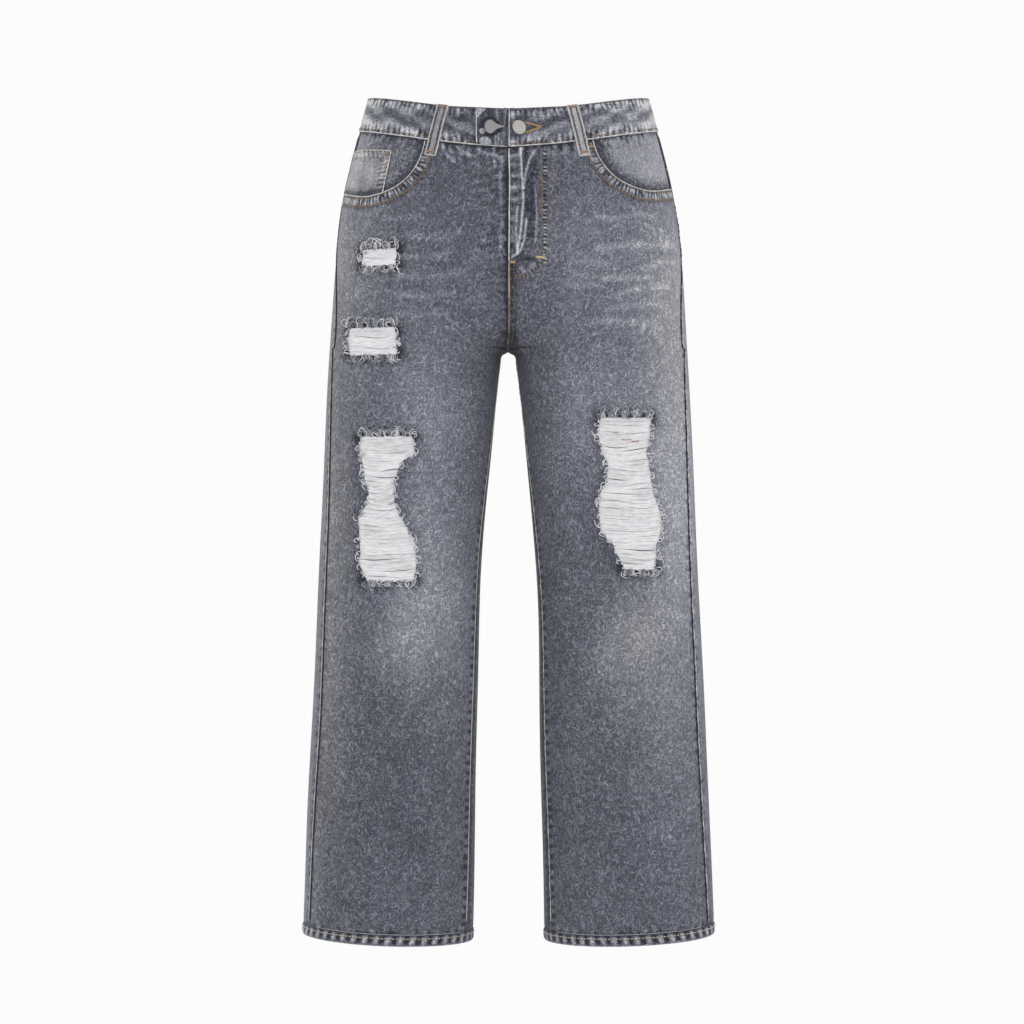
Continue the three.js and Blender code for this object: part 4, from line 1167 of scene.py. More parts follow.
for side, word in BOTH_SIDES:
    a, b = grid_of(46, 34)
    low = -118 - (6.5 if side == RIGHT else 0)
    level = -45 + b * (low + 45)
    edge = share_of(GAP / 2, level)
    share = (side_seam(level) + edge) * (1 - a) + share_at_x(np.full(a.shape, 84.0), level) * a
    z = (waistband_bottom(share) - GAP) * (1 - b) + low * b
    x = read_form(share, z)[..., 0]
    flat = np.stack([x, z], -1).reshape(-1, 2)
    from_mouth = nearest_on(flat, mouth_line(side))[0].reshape(z.shape)
    under = np.abs(z - waistband_bottom(share))
    # Painted shadow along the pocket's mouth, under the front's edge, and under the waistband.
    ground, deep, reach = (0.08, 0.35, 7) if side == RIGHT else (-0.1, 0.5, 11)
    shade = ground + deep * hump(from_mouth, 0, reach)
    shade = shade + 0.25 * hump(under, 0, 3)
    points, faces, _ = wall(side, share, z, -3.3, -2.1)
    layers = layers_for(side, share, z, read_form(share, z)[..., 2] / 9, under,
                        0.6 * unit(1.15 - under / 14), shade, -0.15)
    facing = finish_mesh(f"pocket_facing_{word}_cloth", points, faces, worn_denim, joined(layers, layers))
    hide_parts(f"pocket_facing_{word}")

COIN_CORNER = (133, -51)  # x and z where the coin pocket's two free edges meet


def coin_side(z):
    """x along the coin pocket's free side."""
    return COIN_CORNER[0] + 13 * (COIN_CORNER[1] - z) / 67


def coin_top(x):
    """z along the coin pocket's hemmed top."""
    return COIN_CORNER[1] + 10 * (x - COIN_CORNER[0]) / 71


# The coin pocket's outline ends along the mouth, where the front covers the rest.
a, b = grid_of(34, 36)
mouth_x, mouth_z = mouth_line(RIGHT, 0.35).T
x_top = 133 + 13 * b * 54 / 67
level = -51 - 54 * b
side_limit = side_seam(level) + share_of(0.5, level)
share = side_limit * (1 - a) + share_at_x(x_top, level) * a
x = bare_form(share, level)[..., 0]
rise = 10 * (x - 133) / 71
level = level + rise * (1 - b)
low_at_x = np.interp(x, mouth_x, mouth_z)
z = np.maximum(level, low_at_x)
share = share_at_x(x, z)
points, faces, _ = wall(RIGHT, share, z, -1.2, -0.1)
distance = np.minimum(rise - 51 - z, np.abs(x - x_top))
# Its darkening, toward the mouth's edge where the front covers it, is painted shade.
layers = layers_for(RIGHT, np.maximum(share, side_seam(z)), z,
                    np.where(rise - 51 - z < np.abs(x - x_top), x, z) / 5, distance,
                    1.1 * unit(1.3 - distance / 11),
                    0.6 * hump(z, low_at_x, 7),
                    0.1 + 0.3 * np.sin(x / 3.7 + 0.8 * np.sin(z / 8)) * np.sin(z / 11 + x / 9), 0.2, 0.3)
coin_pocket = finish_mesh("coin_pocket_cloth", points, faces, worn_denim, joined(layers, layers))
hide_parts("coin_pocket")
rows = []
for drop in (2.2, 9.5):
    x = np.linspace(134.5, 180, 20)
    rows.append(stitches(RIGHT, on_front(x, coin_top(x) - drop), -0.05, 3.2))
for by in (2.2, 7.5):
    z = np.linspace(-53, -97, 20)
    rows.append(stitches(RIGHT, on_front(coin_side(z) + by, z), -0.05, 3.2))
tacks = []
for shift in (-0.8, 0, 0.8):
    x = np.linspace(135, 141, 5)
    tacks.append(stitches(RIGHT, on_front(x, -52.8 + shift + 0 * x), 0.1, 6.5, 6.0))
sew("coin_pocket_bartack", tacks, orange_bartack, 0.45)
sew("coin_pocket_topstitching", rows, tan_topstitch, 0.42)
z = np.linspace(-51, -101, 20)
x = np.linspace(133, 182, 20)
edge_mesh("coin_pocket_rubbed_edges", [
    rubbed_edge(RIGHT, on_front(coin_side(z), z), -0.45, 0.6, 4),
    rubbed_edge(RIGHT, on_front(x, coin_top(x)), -0.45, 0.6, 5)], rubbed_fold)


# ---- Waistband ----
# A straight strip of denim folded over and sewn on all round, a half to each side of the middle back.
# It shrank in the wash while its thread did not, so both its edges pucker, and its lower fold is rubbed.
def waistband_top(share):
    end = np.where(share >= 0, 43.5, 40)
    return waistband_bottom(share) + 38.5 + (end - 38.5) * np.abs(share)


BAND_FACE = 1.2  # how far the band's face stands off the form
for side, word in BOTH_SIDES:
    a, b = grid_of(210, 20)
    share = (-1 + share_of(GAP / 2, BAND_SEAM, False)) * (1 - a) + (1 - share_of(GAP / 2, BAND_SEAM)) * a
    z = waistband_top(share) * (1 - b) + waistband_bottom(share) * b
    along = read_form(share, np.full(share.shape, BAND_SEAM))[..., 2]
    height = waistband_top(share) - waistband_bottom(share)
    down, up = height * b, height * (1 - b)
    swell = 0.35 * np.sin(2 * math.pi * along / 9.5 + 2.5 * np.sin(along / 37) + 0.1 * down)
    outer = BAND_FACE + swell * hump(down, 0, 9) + 0.3 * np.sin(along / 1.7) * hump(up, 0, 7)
    outer = outer + 0.35 * np.sin(along / 17 + down / 9) * np.sin(down / 13)
    outer = outer - 0.8 * hump(np.minimum(down, up), 0, 1.0)
    periods, distance, strength = seam_bands((down, along, 1.4, 6.4, 13), (up, along + 4, 1.7, 6.6, 12))
    # Painted shade along the band's lower fold.
    dark = 0.2 * hump(up, 0, 1.6) - 0.02
    points, faces, _ = wall(side, share, z, -1.4, outer)
    # The wash skims a strip under the top fold and one above the seam, most at the sides.
    toward_side = unit(1.15 - np.abs(share) / 0.8)
    strips = (0.2 + 0.6 * toward_side) * hump(down, 6, 5) + (0.3 + 0.55 * toward_side) * hump(up, 9, 6)
    mottled = np.sin(along / 11 + side) * np.sin(down / 4 + along / 19)
    mottled = mottled + 0.8 * np.sin(along / 7.3 - down / 2.9)
    mottled = np.clip(1.5 * mottled, -1, 1.3)
    layers = layers_for(side, share, z, periods, distance, strength, dark,
                        (0.3 if side == RIGHT else 0.75) * toward_side + strips
                        + 0.4 * mottled * unit(down / 8), 0.3, 0.4 * toward_side)
    layers["cloth"] = layers["cloth"][:, [1, 0, 2]]  # its warp runs along it
    band = finish_mesh(f"waistband_{word}_cloth", points, faces, denim, joined(layers, layers))
    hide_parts(f"waistband_{word}")

    share = np.linspace(-0.995, 0.992, 300)
    rows = [stitches(side, np.stack([share, waistband_top(share) - 1.6], 1), BAND_FACE - 0.1, 3.0),
            stitches(side, np.stack([share, waistband_bottom(share) + 3.0], 1), BAND_FACE, 3.2)]
    sew(f"waistband_top_topstitching_{word}", rows[:1], shadowed_topstitch, 0.55)
    sew(f"waistband_topstitching_{word}", rows[1:], brown_topstitch, 0.55)
    fold = [rubbed_edge(side, np.stack([share, waistband_bottom(share) + 0.3], 1), 0.8, 0.68, side)]
    if side == LEFT:
        end_z = np.linspace(-50, -7, 30)
        places = np.stack([1 - share_of(0.9 + 0.04 * (end_z + 50), end_z), end_z], 1)
        fold.append(rubbed_edge(side, places, BAND_FACE + 0.1, 0.75, 7))
    edge_mesh(f"waistband_rubbed_edges_{word}", fold, rubbed_fold)


# ---- Waistband tab ----
# A second layer on the right end of the waistband, which carries the hook. Its free edge is raw and
# rubbed pale, and the wash has skimmed its corners.
TAB_WIDTH, TAB_HEIGHT = 35.2, 42.5
a, b = grid_of(60, 66)
share = share_at_x(36 + a * (0.9 - 36), np.full(a.shape, BAND_SEAM))
z = (waistband_top(share) - 0.5) * (1 - b) + (waistband_bottom(share) + 0.5) * b
from_left, down, up = TAB_WIDTH * a, TAB_HEIGHT * b, TAB_HEIGHT * (1 - b)
corner = unit((13 - from_left - 0.9 * down) / 2)
corner = corner + unit((8 - np.hypot(from_left - 9, up - 3)) / 2)
lobe = unit((4.6 - np.hypot(from_left - 6.5, down - 27)) / 1.5)
columns = hump(from_left, 23.5, 1.5) * (np.abs(down - 21) > 7) + hump(from_left, 29, 1.2) * (down > 26)
columns = columns + hump(from_left, 20, 1.3) * (down > 30) + 0.7 * hump(from_left, 32, 1.0)
# A ring of painted shadow round the hook's plate; it also gives the pale patches their dark rims.
ring = hump(np.hypot(from_left - 15.5, (down - 21) / 1.15), 9.2, 1.3)
patched = unit(corner + lobe)
ring = np.maximum(ring * (1 - patched), 3.2 * patched * (1 - patched))
outer = 2.55 + 0.25 * columns + 0.15 * np.sin(down / 4)
points, faces, _ = wall(RIGHT, share, z, 1.55, outer)
layers = layers_for(RIGHT, share, z, down / 9, np.minimum(down, up), 0.0, 0.08 + 0.4 * ring,
                    1.5 * patched + 1.2 * columns, 0.5, 0.2)
tab = finish_mesh("waistband_tab_cloth", points, faces, denim, joined(layers, layers))
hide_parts("waistband_tab")
end_z = np.linspace(-47, -8, 24)
free_edge = np.stack([share_at_x(36, BAND_SEAM) + 0 * end_z, end_z], 1)
edge_mesh("waistband_tab_rubbed_edge", [rubbed_edge(RIGHT, free_edge, 2.3, 0.6, 2)], rubbed_fold)


# ---- Belt loops ----
# Five strips folded in three and sewn down their length, standing a little off the waistband between
# the bars of stitching that hold them at the top and below the seam.
LOOP_WIDTH = 12
LOOPS = {"belt_loop_front_right": (-73.5, -88, True), "belt_loop_front_left": (71.5, 86, True),
         "belt_loop_back_right": (-92, -99, False), "belt_loop_back_left": (92, 99, False),
         "belt_loop_back_centre": (0, 0, False)}


def loop_places(top_x, bottom_x, front, a, b):
    """Places over a loop, and how high its underside stands: a across from -0.5 to 0.5, b down."""
    x = top_x + (bottom_x - top_x) * b + a * LOOP_WIDTH
    near = share_at_x(x, np.full(x.shape, BAND_SEAM), front)
    top, seam = waistband_top(near) + 0.5, waistband_bottom(near)
    z = top + (seam - 18.5 - top) * b
    over = BAND_FACE + GAP
    low = over + (GAP - over) * unit((seam - 1.5 - z) / 5)
    lift = np.where(z > seam - 1.5, over, low)
    lift = lift + 1.2 * np.sin(math.pi * unit((top - z) / (top - seam + 2)))
    return x, share_at_x(x, z, front), z, lift


def loop_points(x, share, z, off):
    """Points of a loop, which may cross the middle from one half to the other."""
    return np.where((x < 0)[..., None], place(RIGHT, share, z, off), place(LEFT, share, z, off))


loop_rows, loop_tacks, loop_edges = [], [], []
for name, (top_x, bottom_x, front) in LOOPS.items():
    a, b = grid_of(10, 40)
    x, share, z, lift = loop_places(top_x, bottom_x, front, a - 0.5, b)
    rounded = -0.7 * hump(np.minimum(a, 1 - a) * LOOP_WIDTH, 0, 0.9)
    ridge = 0.25 * np.cos(2 * math.pi * (a - 0.5) * 2)
    skins = [loop_points(x, share, z, lift + 1.2 + rounded + ridge), loop_points(x, share, z, lift)]
    _, faces, _ = wall(RIGHT, share, z, 0.0, 1.0)
    layers = layers_for(RIGHT, share, z, 0.0, 9.0, 0.0, 0.3 * hump(np.abs(a - 0.5), 0.33, 0.07),
                        0.95 if x.mean() > 0 else 0.4, 0.9, 0.3)
    layers["cloth"] = layers["cloth"] + [top_x, 0, 0]
    loop = finish_mesh(f"{name}_cloth", np.vstack([s.reshape(-1, 3) for s in skins]), faces, worn_denim,
                       joined(layers, layers))
    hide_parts(name)

    def strand(across, down, height, lifts):
        """A line over the loop's face as centres and outward directions."""
        x, share, z, lift = loop_places(top_x, bottom_x, front, across, down)
        foot = loop_points(x, share, z, lift + 1.2 + height + lifts)
        return foot, loop_points(x, share, z, lift + 2.2 + height + lifts) - foot

    arc = np.array([-0.3, 0.3, 0.3, -0.3])
    count = 17
    at = (np.arange(count)[:, None] + 0.5) / count + np.linspace(-0.5, 0.5, 4) * 0.7 / count
    at = 0.05 + 0.86 * at
    for across in (-0.27, 0.27):
        loop_rows.append(strand(np.full(at.shape, across), at, 0.1, arc))
    for down in (0.035, 0.05, 0.065, 0.925, 0.94, 0.955):
        bar = np.linspace(-0.36, 0.36, 4)[None, :]
        loop_tacks.append(strand(bar, np.full(bar.shape, down), 0.35, arc))
    line = np.linspace(0.0, 1.0, 36)[None, :]
    for across in (-0.485, 0.485):
        centres, outs = strand(np.full(line.shape, across), line, -0.55, 0.0)
        loop_edges.append((centres, outs, np.full(line.shape, 0.62)))
    bar = np.linspace(-0.5, 0.5, 8)[None, :]
    centres, outs = strand(bar, np.full(bar.shape, 1.0), -0.6, 0.0)
    loop_edges.append((centres, outs, np.full(bar.shape, 0.7)))
# The loops' rows are nearly black, so they stand out on the pale strips.
dark_brown_topstitch = cotton_thread("dark_brown_cotton_topstitch", "#1c1817", "#43362e")
sew("belt_loop_topstitching", loop_rows, dark_brown_topstitch, 0.68)
sew("belt_loop_bartacks", loop_tacks, orange_bartack, 0.4)
edge_mesh("belt_loop_rubbed_edges", loop_edges, rubbed_fold)


# ---- Hems ----
# The legs' ends are turned up twice and sewn with one row. The fold twists as it shrinks, which ropes
# it: slanting dark hollows and pale rubbed ridges about 12 mm apart.
for side, word in BOTH_SIDES:
    columns = 300
    share = np.tile(np.linspace(-1, 1, columns, endpoint=False), (9, 1))
    b = np.linspace(0, 1, 9)[:, None] + 0 * share
    low = hem_bottom(share)
    z = low + HEM_HEIGHT * (1 - b)
    along = read_form(share, np.full(share.shape, LEG_END))[..., 2]
    phase = 2 * math.pi * along / 13.0 + 1.2 * np.sin(along / 41 + side) + 1.8 * (b - 0.5)
    rope = np.sin(phase)
    outer = 0.55 + 0.45 * rope * np.sin(math.pi * b) - 0.9 * (np.abs(2 * b - 1) ** 6)
    points, faces, _ = wall(side, share, z, -1.4, outer, closed=True)
    # Painted shade in the rope's hollows and a painted shadow along the hem's top; the ridges and the lowest
    # fold are rubbed pale.
    hollow = unit(-rope - 0.25) * np.sin(math.pi * unit(b * 1.15))
    layers = layers_for(side, share, z, 0.0, 9.0, 0.0,
                        1.05 * hollow + 0.4 * hump(b, 0, 0.1),
                        1.5 * unit(rope) * np.sin(math.pi * b) + 0.9 * (b > 0.93))
    hem = finish_mesh(f"hem_{word}_cloth", points, faces, denim, joined(layers, layers))
    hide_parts(f"hem_{word}")
    share = np.linspace(-1, 1, 400)
    row = np.stack([share, hem_bottom(share) + 9.0], 1)
    sew(f"hem_topstitching_{word}", [stitches(side, row, 0.75, 4.2, 2.8)], pale_topstitch, 0.42)
    row = np.stack([share, hem_bottom(share) + 7.9], 1)
    sew(f"hem_under_thread_{word}", [stitches(side, row, 0.55, 4.2, 4.0)], brown_topstitch, 0.3)


# ---- Rips ----
# Where the cloth was cut and abraded the dark warp is gone and the white weft yarns still cross the
# hole, slack and crowded together. Broken warp ends curl up and down from the cut edges.
weft_yarn = new_material("undyed_cotton_weft")
where = add_node(weft_yarn, "ShaderNodeAttribute", attribute_name="yarn").outputs["Vector"]
uneven = add_node(weft_yarn, "ShaderNodeTexNoise", {"Vector": where, "Scale": 0.12, "Detail": 1.0})
weft_ramp = add_node(weft_yarn, "ShaderNodeValToRGB", {"Fac": uneven.outputs["Fac"]})
for element, (at, code) in zip(weft_ramp.color_ramp.elements, ((0.25, "#d6d5d9"), (0.6, "#f1f0f2"))):
    element.position, element.color = at, colour(code)
# Spun yarn: fibres wind round it about once a millimetre, and no gloss shows.
twist = add_node(weft_yarn, "ShaderNodeTexWave", {"Vector": where, "Scale": 0.16, "Distortion": 1.0})
weft_bump = add_node(weft_yarn, "ShaderNodeBump",
                     {"Height": twist.outputs["Fac"], "Strength": 0.5, "Distance": 0.0002})
weft_shader = add_node(weft_yarn, "ShaderNodeBsdfPrincipled",
                       {"Base Color": weft_ramp.outputs[0], "Normal": weft_bump.outputs[0],
                        "Roughness": 0.95, "Specular IOR Level": 0.1, "Sheen Weight": 0.3})
add_node(weft_yarn, "ShaderNodeOutputMaterial", {"Surface": weft_shader.outputs[0]})
# Loose warp keeps some of its grey dye, loose weft is bare cotton, and a few lengths are stained rust.
loose_warp = cotton_thread("loose_cotton_warp", "#565963", "#a9abb4")
pale_fray = cotton_thread("frayed_cotton_yarn", "#bcbcc4", "#f1f0f2")
rust_yarn = cotton_thread("rust_cotton_yarn", "#8f5239", "#b98269")


def yarn_layers(centres, sides, seed):
    """Each yarn's own place in the noise, and the distance along it."""
    run = np.linalg.norm(np.diff(centres, axis=1, prepend=centres[:, :1]), axis=-1).cumsum(1)
    own = np.random.default_rng(seed).uniform(0, 900, (len(centres), 1)) + 0 * run
    values = np.stack([run, own, own * 0.37], -1)
    return {"yarn": np.repeat(values[:, :, None], sides, axis=2).reshape(-1, 3)}


def soft_noise(rng, count, knots, size):
    """A smooth random run of numbers."""
    marks = np.linspace(0, 1, max(2, knots))
    return np.interp(np.linspace(0, 1, count), marks, rng.normal(0, size, len(marks)))


YARN_PITCH = 0.95
YARN_POINTS = 18
TUCKED = 3.0  # how far a yarn's ends run on under the cloth
for number, (name, (side, top, stations)) in enumerate(RIPS.items()):
    rng = np.random.default_rng(100 + number)
    down, right, left = np.array(stations, float).T
    height = down[-1]
    count = int(height / YARN_PITCH) + 1
    t = np.linspace(0, 1, YARN_POINTS)[None, :]
    all_centres, all_outs = [], []
    # The yarns cling together in bundles of a few, which sag and tilt as one, with grooves between.
    bundle = np.searchsorted(np.cumsum(rng.integers(2, 6, count)), np.arange(count), side="right")
    each = bundle.max() + 1
    middle = np.array([np.flatnonzero(bundle == b).mean() for b in range(each)])[bundle]
    spread = np.arange(count) - middle
    sag = 3.2 + soft_noise(rng, count, count // 14, 1.4) + rng.normal(0, 0.28, each)[bundle]
    tilt = soft_noise(rng, count, count // 12, 2.8) + rng.normal(0, 0.8, each)[bundle]
    sway = soft_noise(rng, count, count // 9, 1.3) + rng.normal(0, 0.35, each)[bundle]
    for layer, rest_off in enumerate((-0.75, -1.35)):
        at = np.linspace(0.4, height - 0.4, count) - 0.06 * YARN_PITCH * spread + 0.4 * YARN_PITCH * layer
        at = np.clip(at, 0.2, height - 0.2)
        x0 = np.interp(at, down, right)[:, None] - TUCKED
        x1 = np.interp(at, down, left)[:, None] + TUCKED
        sag_end = np.clip(np.minimum(at, height - at) / 8, 0.15, 1)
        bow = (1 - (2 * t - 1) ** 2)
        z = (top - at[:, None] - (sag * sag_end)[:, None] * bow
             + (tilt * sag_end)[:, None] * (t - 0.5) * bow
             + (sway * sag_end)[:, None] * np.sin(2 * math.pi * t) * 0.6
             + rng.normal(0, 0.05, (count, YARN_POINTS)))
        z = np.clip(z, top - height - 0.4, top + 0.4)
        x = x0 + (x1 - x0) * t
        rise = 2.0 + rest_off - 0.13 * spread[:, None] ** 2 + rng.normal(0, 0.05, (count, 1))
        off = -2.0 + rise * unit(8 * t * (1 - t))
        share = share_at_x(x, z)
        centres = place(side, share, z, off)
        all_centres.append(centres)
        all_outs.append(place(side, share, z, off + 1) - centres)
    centres, outs = np.concatenate(all_centres), np.concatenate(all_outs)
    radius = 0.5 * rng.uniform(0.9, 1.08, (len(centres), 1))
    radius = radius * (1 + 0.06 * rng.normal(0, 1, centres.shape[:2]))
    points, faces = tubes(centres, outs, radius.clip(0.25, 0.62), 5)
    yarns = finish_mesh(f"{name}_yarns", points, faces, weft_yarn, yarn_layers(centres, 5, number),
                        turned=False)
    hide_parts(name)

    # Broken ends: curls standing up from the top edge and down from the bottom one, and small hooks
    # and loops down the sides.
    strands = {"pale": [], "warp": []}
    steps = np.linspace(0, 1, 12)

    def curl(x, z, heading, long, turn, lift, pale):
        """One strand from (x, z): it sets off along its heading and turns as it goes."""
        wobble = rng.uniform(0.2, 0.6) * np.sin(rng.uniform(5, 9) * steps + rng.uniform(0, 6))
        heading = heading + turn * steps ** 1.3 + wobble
        x = x + np.cumsum(np.cos(heading)) * long / len(steps)
        z = z + np.cumsum(np.sin(heading)) * long / len(steps)
        off = -0.6 + 1.2 * unit(steps * 5) + lift * np.sin(math.pi * steps)
        strands["pale" if rng.random() < pale else "warp"].append((x, z, off))

    for edge_z, way, x_from, x_to in ((top, 1, right[0], left[0]), (top - height, -1, right[-1], left[-1])):
        for x_start in np.arange(x_from - 2, x_to + 2, 0.8):
            # Neighbours lean and curl alike, in tufts.
            tuft = math.sin(x_start / 2.3 + number) + 0.7 * math.sin(x_start / 1.1 + 2 * number)
            turn = math.copysign(rng.uniform(1.6, 4.2), tuft + rng.normal(0, 0.35))
            curl(x_start + rng.uniform(-0.5, 0.5), edge_z - way * rng.uniform(0, 1.6),
                 way * math.pi / 2 - 0.3 * turn + rng.normal(0, 0.25),
                 rng.uniform(10, 19) * (1 if way > 0 else 0.8), turn, rng.uniform(0, 1.6), 0.25)
    for edge_x, way in ((right, -1), (left, 1)):
        for z_start in np.arange(top - 2, top - height, -2.0):
            if rng.random() < 0.3:
                continue
            edge_at = np.interp(top - z_start, down, edge_x)
            curl(edge_at - way * 0.8, z_start, (0 if way > 0 else math.pi) + rng.normal(0, 0.7),
                 rng.uniform(4, 13), rng.choice([-1, 1]) * rng.uniform(2.0, 5.0), rng.uniform(0, 0.8), 0.75)
    for kind, material in (("pale", pale_fray), ("warp", loose_warp)):
        x, z, off = (np.array(values) for values in zip(*strands[kind]))
        share = share_at_x(x, z)
        centres = place(side, share, z, off)
        outs = place(side, share, z, off + 1) - centres
        taper = np.where(steps > 0.85, 0.6, 1.0)[None, :]
        points, faces = tubes(centres, outs, 0.46 * taper * np.ones(centres.shape[:2]), 4)
        fray = finish_mesh(f"{name}_{kind}_fray", points, faces, material, turned=False)

# A few rust-coloured lengths of yarn near the top of the left knee's rip.
rust = []
for x, z, length in ((117, -371, 6), (127, -379, 11), (139, -381, 8)):
    across = np.linspace(x, x + length, 9)
    rust.append((across, z - 0.7 * np.sin(np.linspace(0, math.pi, 9)), np.full(9, -0.2)))
x, z, off = (np.array(values) for values in zip(*rust))
share = share_at_x(x, z)
centres = place(LEFT, share, z, off)
points, faces = tubes(centres, place(LEFT, share, z, off + 1) - centres, np.full(x.shape, 0.36), 5)
finish_mesh("rip_knee_left_rust_yarns", points, faces, rust_yarn, turned=False)


# ---- Fly zip ----
# A brass zip on woven tape, behind the fly's placket: only the slider's end could ever be seen, and
# the teeth run down the middle of the tape.
zip_tape_cloth = cotton_thread("woven_polyester_zip_tape", "#2c2e36", "#4a4c55")
a, b = grid_of(12, 40)
x, z = (a - 0.5) * 26, -53 + b * (-180 + 53)
share = share_at_x(x, z)
skins = [loop_points(x, share, z, off + 0 * x).reshape(-1, 3) for off in (-2.4, -3.6)]
_, faces, _ = wall(RIGHT, share, z, 0.0, 1.0)
tape = finish_mesh("zip_tape_cloth", np.vstack(skins), faces, zip_tape_cloth)
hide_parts("zip_tape")

# Brass, stamped and tumbled: warm and half dull.
brass = new_material("tumbled_brass")
brass_noise = add_node(brass, "ShaderNodeTexNoise", {"Scale": 900.0, "Detail": 2.0})
brass_rough = add_node(brass, "ShaderNodeMapRange", {"Value": brass_noise.outputs["Fac"], "To Min": 0.3,
                                                     "To Max": 0.5})
brass_shader = add_node(brass, "ShaderNodeBsdfPrincipled",
                        {"Base Color": colour("#a98c55"), "Metallic": 1.0,
                         "Roughness": brass_rough.outputs[0]})
add_node(brass, "ShaderNodeOutputMaterial", {"Surface": brass_shader.outputs[0]})
teeth_z = np.arange(-66.0, -178.0, -2.0)
centres = []
for row, shift in ((-1, 0.0), (1, 1.0)):
    z = (teeth_z + shift)[:, None] + 0 * np.arange(3)
    x = row * np.array([[0.3, 1.7, 3.2]]) + 0 * z
    share = share_at_x(x, z)
    centres.append(loop_points(x, share, z, -2.0 + 0 * x))
centres = np.concatenate(centres)
points, faces = tubes(centres, np.array([0.0, -1.0, 0.0]), 0.55, 6)
teeth = finish_mesh("zip_teeth", points, faces, brass, turned=False)
a, b = grid_of(10, 12)
x, z = (a - 0.5) * 8 * (1 - 0.25 * b), -56 - 11 * b
share = share_at_x(x, z)
dome = 0.5 * np.sin(math.pi * a) * np.sin(math.pi * b)
skins = [loop_points(x, share, z, -4.4 + dome).reshape(-1, 3),
         loop_points(x, share, z, -6.9 + 0 * x).reshape(-1, 3)]
_, faces, _ = wall(RIGHT, share, z, 0.0, 1.0)
slider = finish_mesh("zip_slider_brass", np.vstack(skins), faces, brass)
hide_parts("zip_slider")


# ---- Button and hook ----
# A shank button riveted to the left end of the waistband, through a keyhole buttonhole, and beside it
# the drop-shaped plate of a trouser hook riveted to the tab. Both are pressed steel, nickel-plated.
def nickel_plate(name, shade):
    """Nickel over pressed steel, brushed in the wash by the cloth: a soft, slightly mottled sheen."""
    material = new_material(name)
    noise = add_node(material, "ShaderNodeTexNoise", {"Scale": 900.0, "Detail": 3.0, "Roughness": 0.7})
    rough = add_node(material, "ShaderNodeMapRange",
                     {"Value": noise.outputs["Fac"], "To Min": 0.36, "To Max": 0.6})
    bump = add_node(material, "ShaderNodeBump",
                    {"Height": noise.outputs["Fac"], "Strength": 0.3, "Distance": 0.0002})
    # Painted shade: where the surface turns away from the camera its colour goes to dark grey, a painted dark
    # rim.
    facing = add_node(material, "ShaderNodeLayerWeight", {"Blend": 0.35})
    rim_painted_dark = add_node(material, "ShaderNodeMix", {"Factor": facing.outputs["Facing"]}, data_type="RGBA")
    rim_painted_dark.inputs["A"].default_value, rim_painted_dark.inputs["B"].default_value = colour(shade), colour("#4c4b4d")
    shader = add_node(material, "ShaderNodeBsdfPrincipled",
                      {"Base Color": rim_painted_dark.outputs["Result"], "Metallic": 1.0,
                       "Roughness": rough.outputs[0], "Normal": bump.outputs[0]})
    add_node(material, "ShaderNodeOutputMaterial", {"Surface": shader.outputs[0]})
    return material


# The button's cap is the brighter of the two.
nickel = nickel_plate("satin_nickel_plate", "#c2bfba")
dull_nickel = nickel_plate("dull_nickel_plate", "#9c9b9c")


def stood_on_front(points, x, z, off, turn=0.0):
    """Points made round +Z, moved to stand on the front at x and z, off the form."""
    side = RIGHT if x < 0 else LEFT
    share = share_at_x(abs(x), z)
    foot = place(side, share, z, off)
    out = place(side, share, z, off + 1) - foot
    out /= np.linalg.norm(out)
    across = np.array([1.0, 0, 0]) - out * out[0]
    across /= np.linalg.norm(across)
    up = np.cross(out, across)
    c, s = math.cos(math.radians(turn)), math.sin(math.radians(turn))
    px, py, pz = np.asarray(points, float).T
    px, pz = c * px + s * pz, -s * px + c * pz
    return foot + px[:, None] * across + py[:, None] * up + pz[:, None] * out


def stacked_faces(rings, around):
    """The faces between rings of points laid one over the other, and the two that close the ends."""
    faces = []
    for ring in range(rings - 1):
        for k in range(around):
            a, b = ring * around + k, ring * around + (k + 1) % around
            faces.append((a, b, b + around, a + around))
    return faces + [tuple(range(around)), tuple(range((rings - 1) * around, rings * around))]


def turned_cap(outline, around=64):
    """Points and faces of a profile of (radius, height) turned round +Z."""
    angle = np.arange(around) * 2 * math.pi / around
    points = [(r * math.cos(t), r * math.sin(t), h) for r, h in outline for t in angle]
    return points, stacked_faces(len(outline), around)


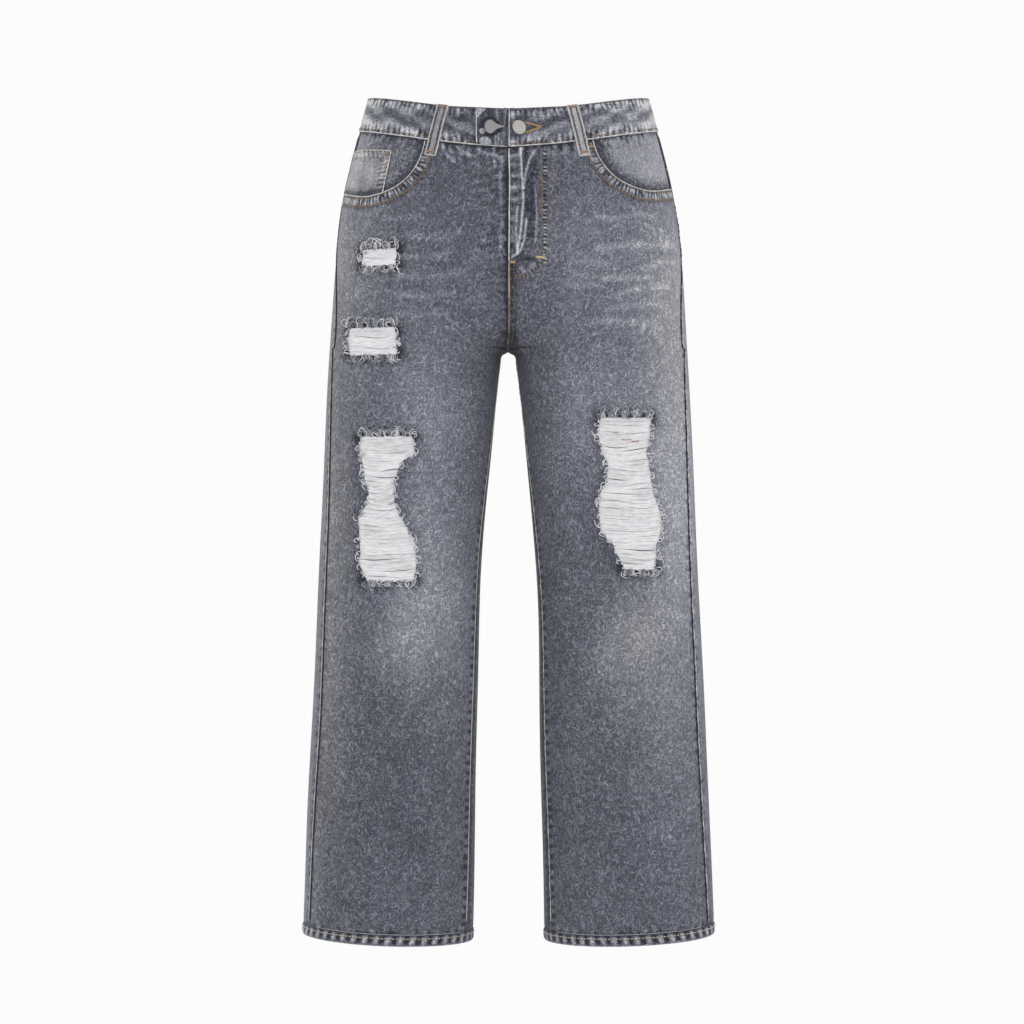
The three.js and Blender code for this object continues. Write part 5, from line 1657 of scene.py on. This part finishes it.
cap_profile = [(0.2, -2.6), (3.4, -2.6), (3.4, -0.6), (7.5, -0.6), (8.1, -0.3), (8.4, 0.2), (8.4, 0.8),
               (8.15, 1.3), (7.7, 1.55), (7.1, 1.5), (6.7, 1.25), (5.0, 1.45), (3.0, 1.6), (0.2, 1.68)]
points, faces = turned_cap(cap_profile)
button = finish_mesh("button_metal", stood_on_front(points, 11.8, -30, BAND_FACE + 5.6, 25), faces, nickel,
                     crease=70)
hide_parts("button")

PLATE_AROUND = 72
plate_turn = np.linspace(0, 2 * math.pi, PLATE_AROUND, endpoint=False)
bulb = np.stack([6.8 * np.cos(plate_turn), 8.3 * np.sin(plate_turn)], 1)
# The bulb's right side runs out into the tip.
reach = unit(np.cos(plate_turn))
bulb[:, 0] += 9.2 * reach ** 7
bulb[:, 1] *= 1 - 0.55 * reach ** 2
points = []
for inset, h in ((0.5, 0.0), (0.0, 0.35), (0.0, 1.0), (0.25, 1.35), (0.7, 1.5), (2.5, 1.55)):
    scale_by = 1 - inset / 8.0
    points += [(px * scale_by, py * scale_by, h) for px, py in bulb]
faces = stacked_faces(6, PLATE_AROUND)
hook = finish_mesh("hook_metal", stood_on_front(points, -20, -28, BAND_FACE + GAP + 1 + 0.8), faces,
                   dull_nickel)
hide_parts("hook_plate")

# The buttonhole's keyhole, worked in golden-brown thread: two bars that meet at a knot.
gold_thread = cotton_thread("golden_cotton_buttonhole", "#86673f", "#c0a273")
worked = []
for start_z, end_z in ((-22.5, -26.5), (-34.0, -28.5)):
    for shift in (-0.7, 0.0, 0.7):
        x, z = np.linspace(19, 34.5, 8), np.linspace(start_z + shift, end_z + shift, 8)
        worked.append(stitches(LEFT, on_front(x, z), BAND_FACE + 0.5, 1.9, 4.4))
for shift in (-1.4, -0.5, 0.4, 1.3):
    x, z = np.full(6, 34.8 + 0.6 * abs(shift)), np.linspace(-25.2, -29.6, 6)
    worked.append(stitches(LEFT, on_front(x + shift, z), BAND_FACE + 0.9, 5.0, 4.4))
sew("buttonhole", worked, gold_thread, 0.48)
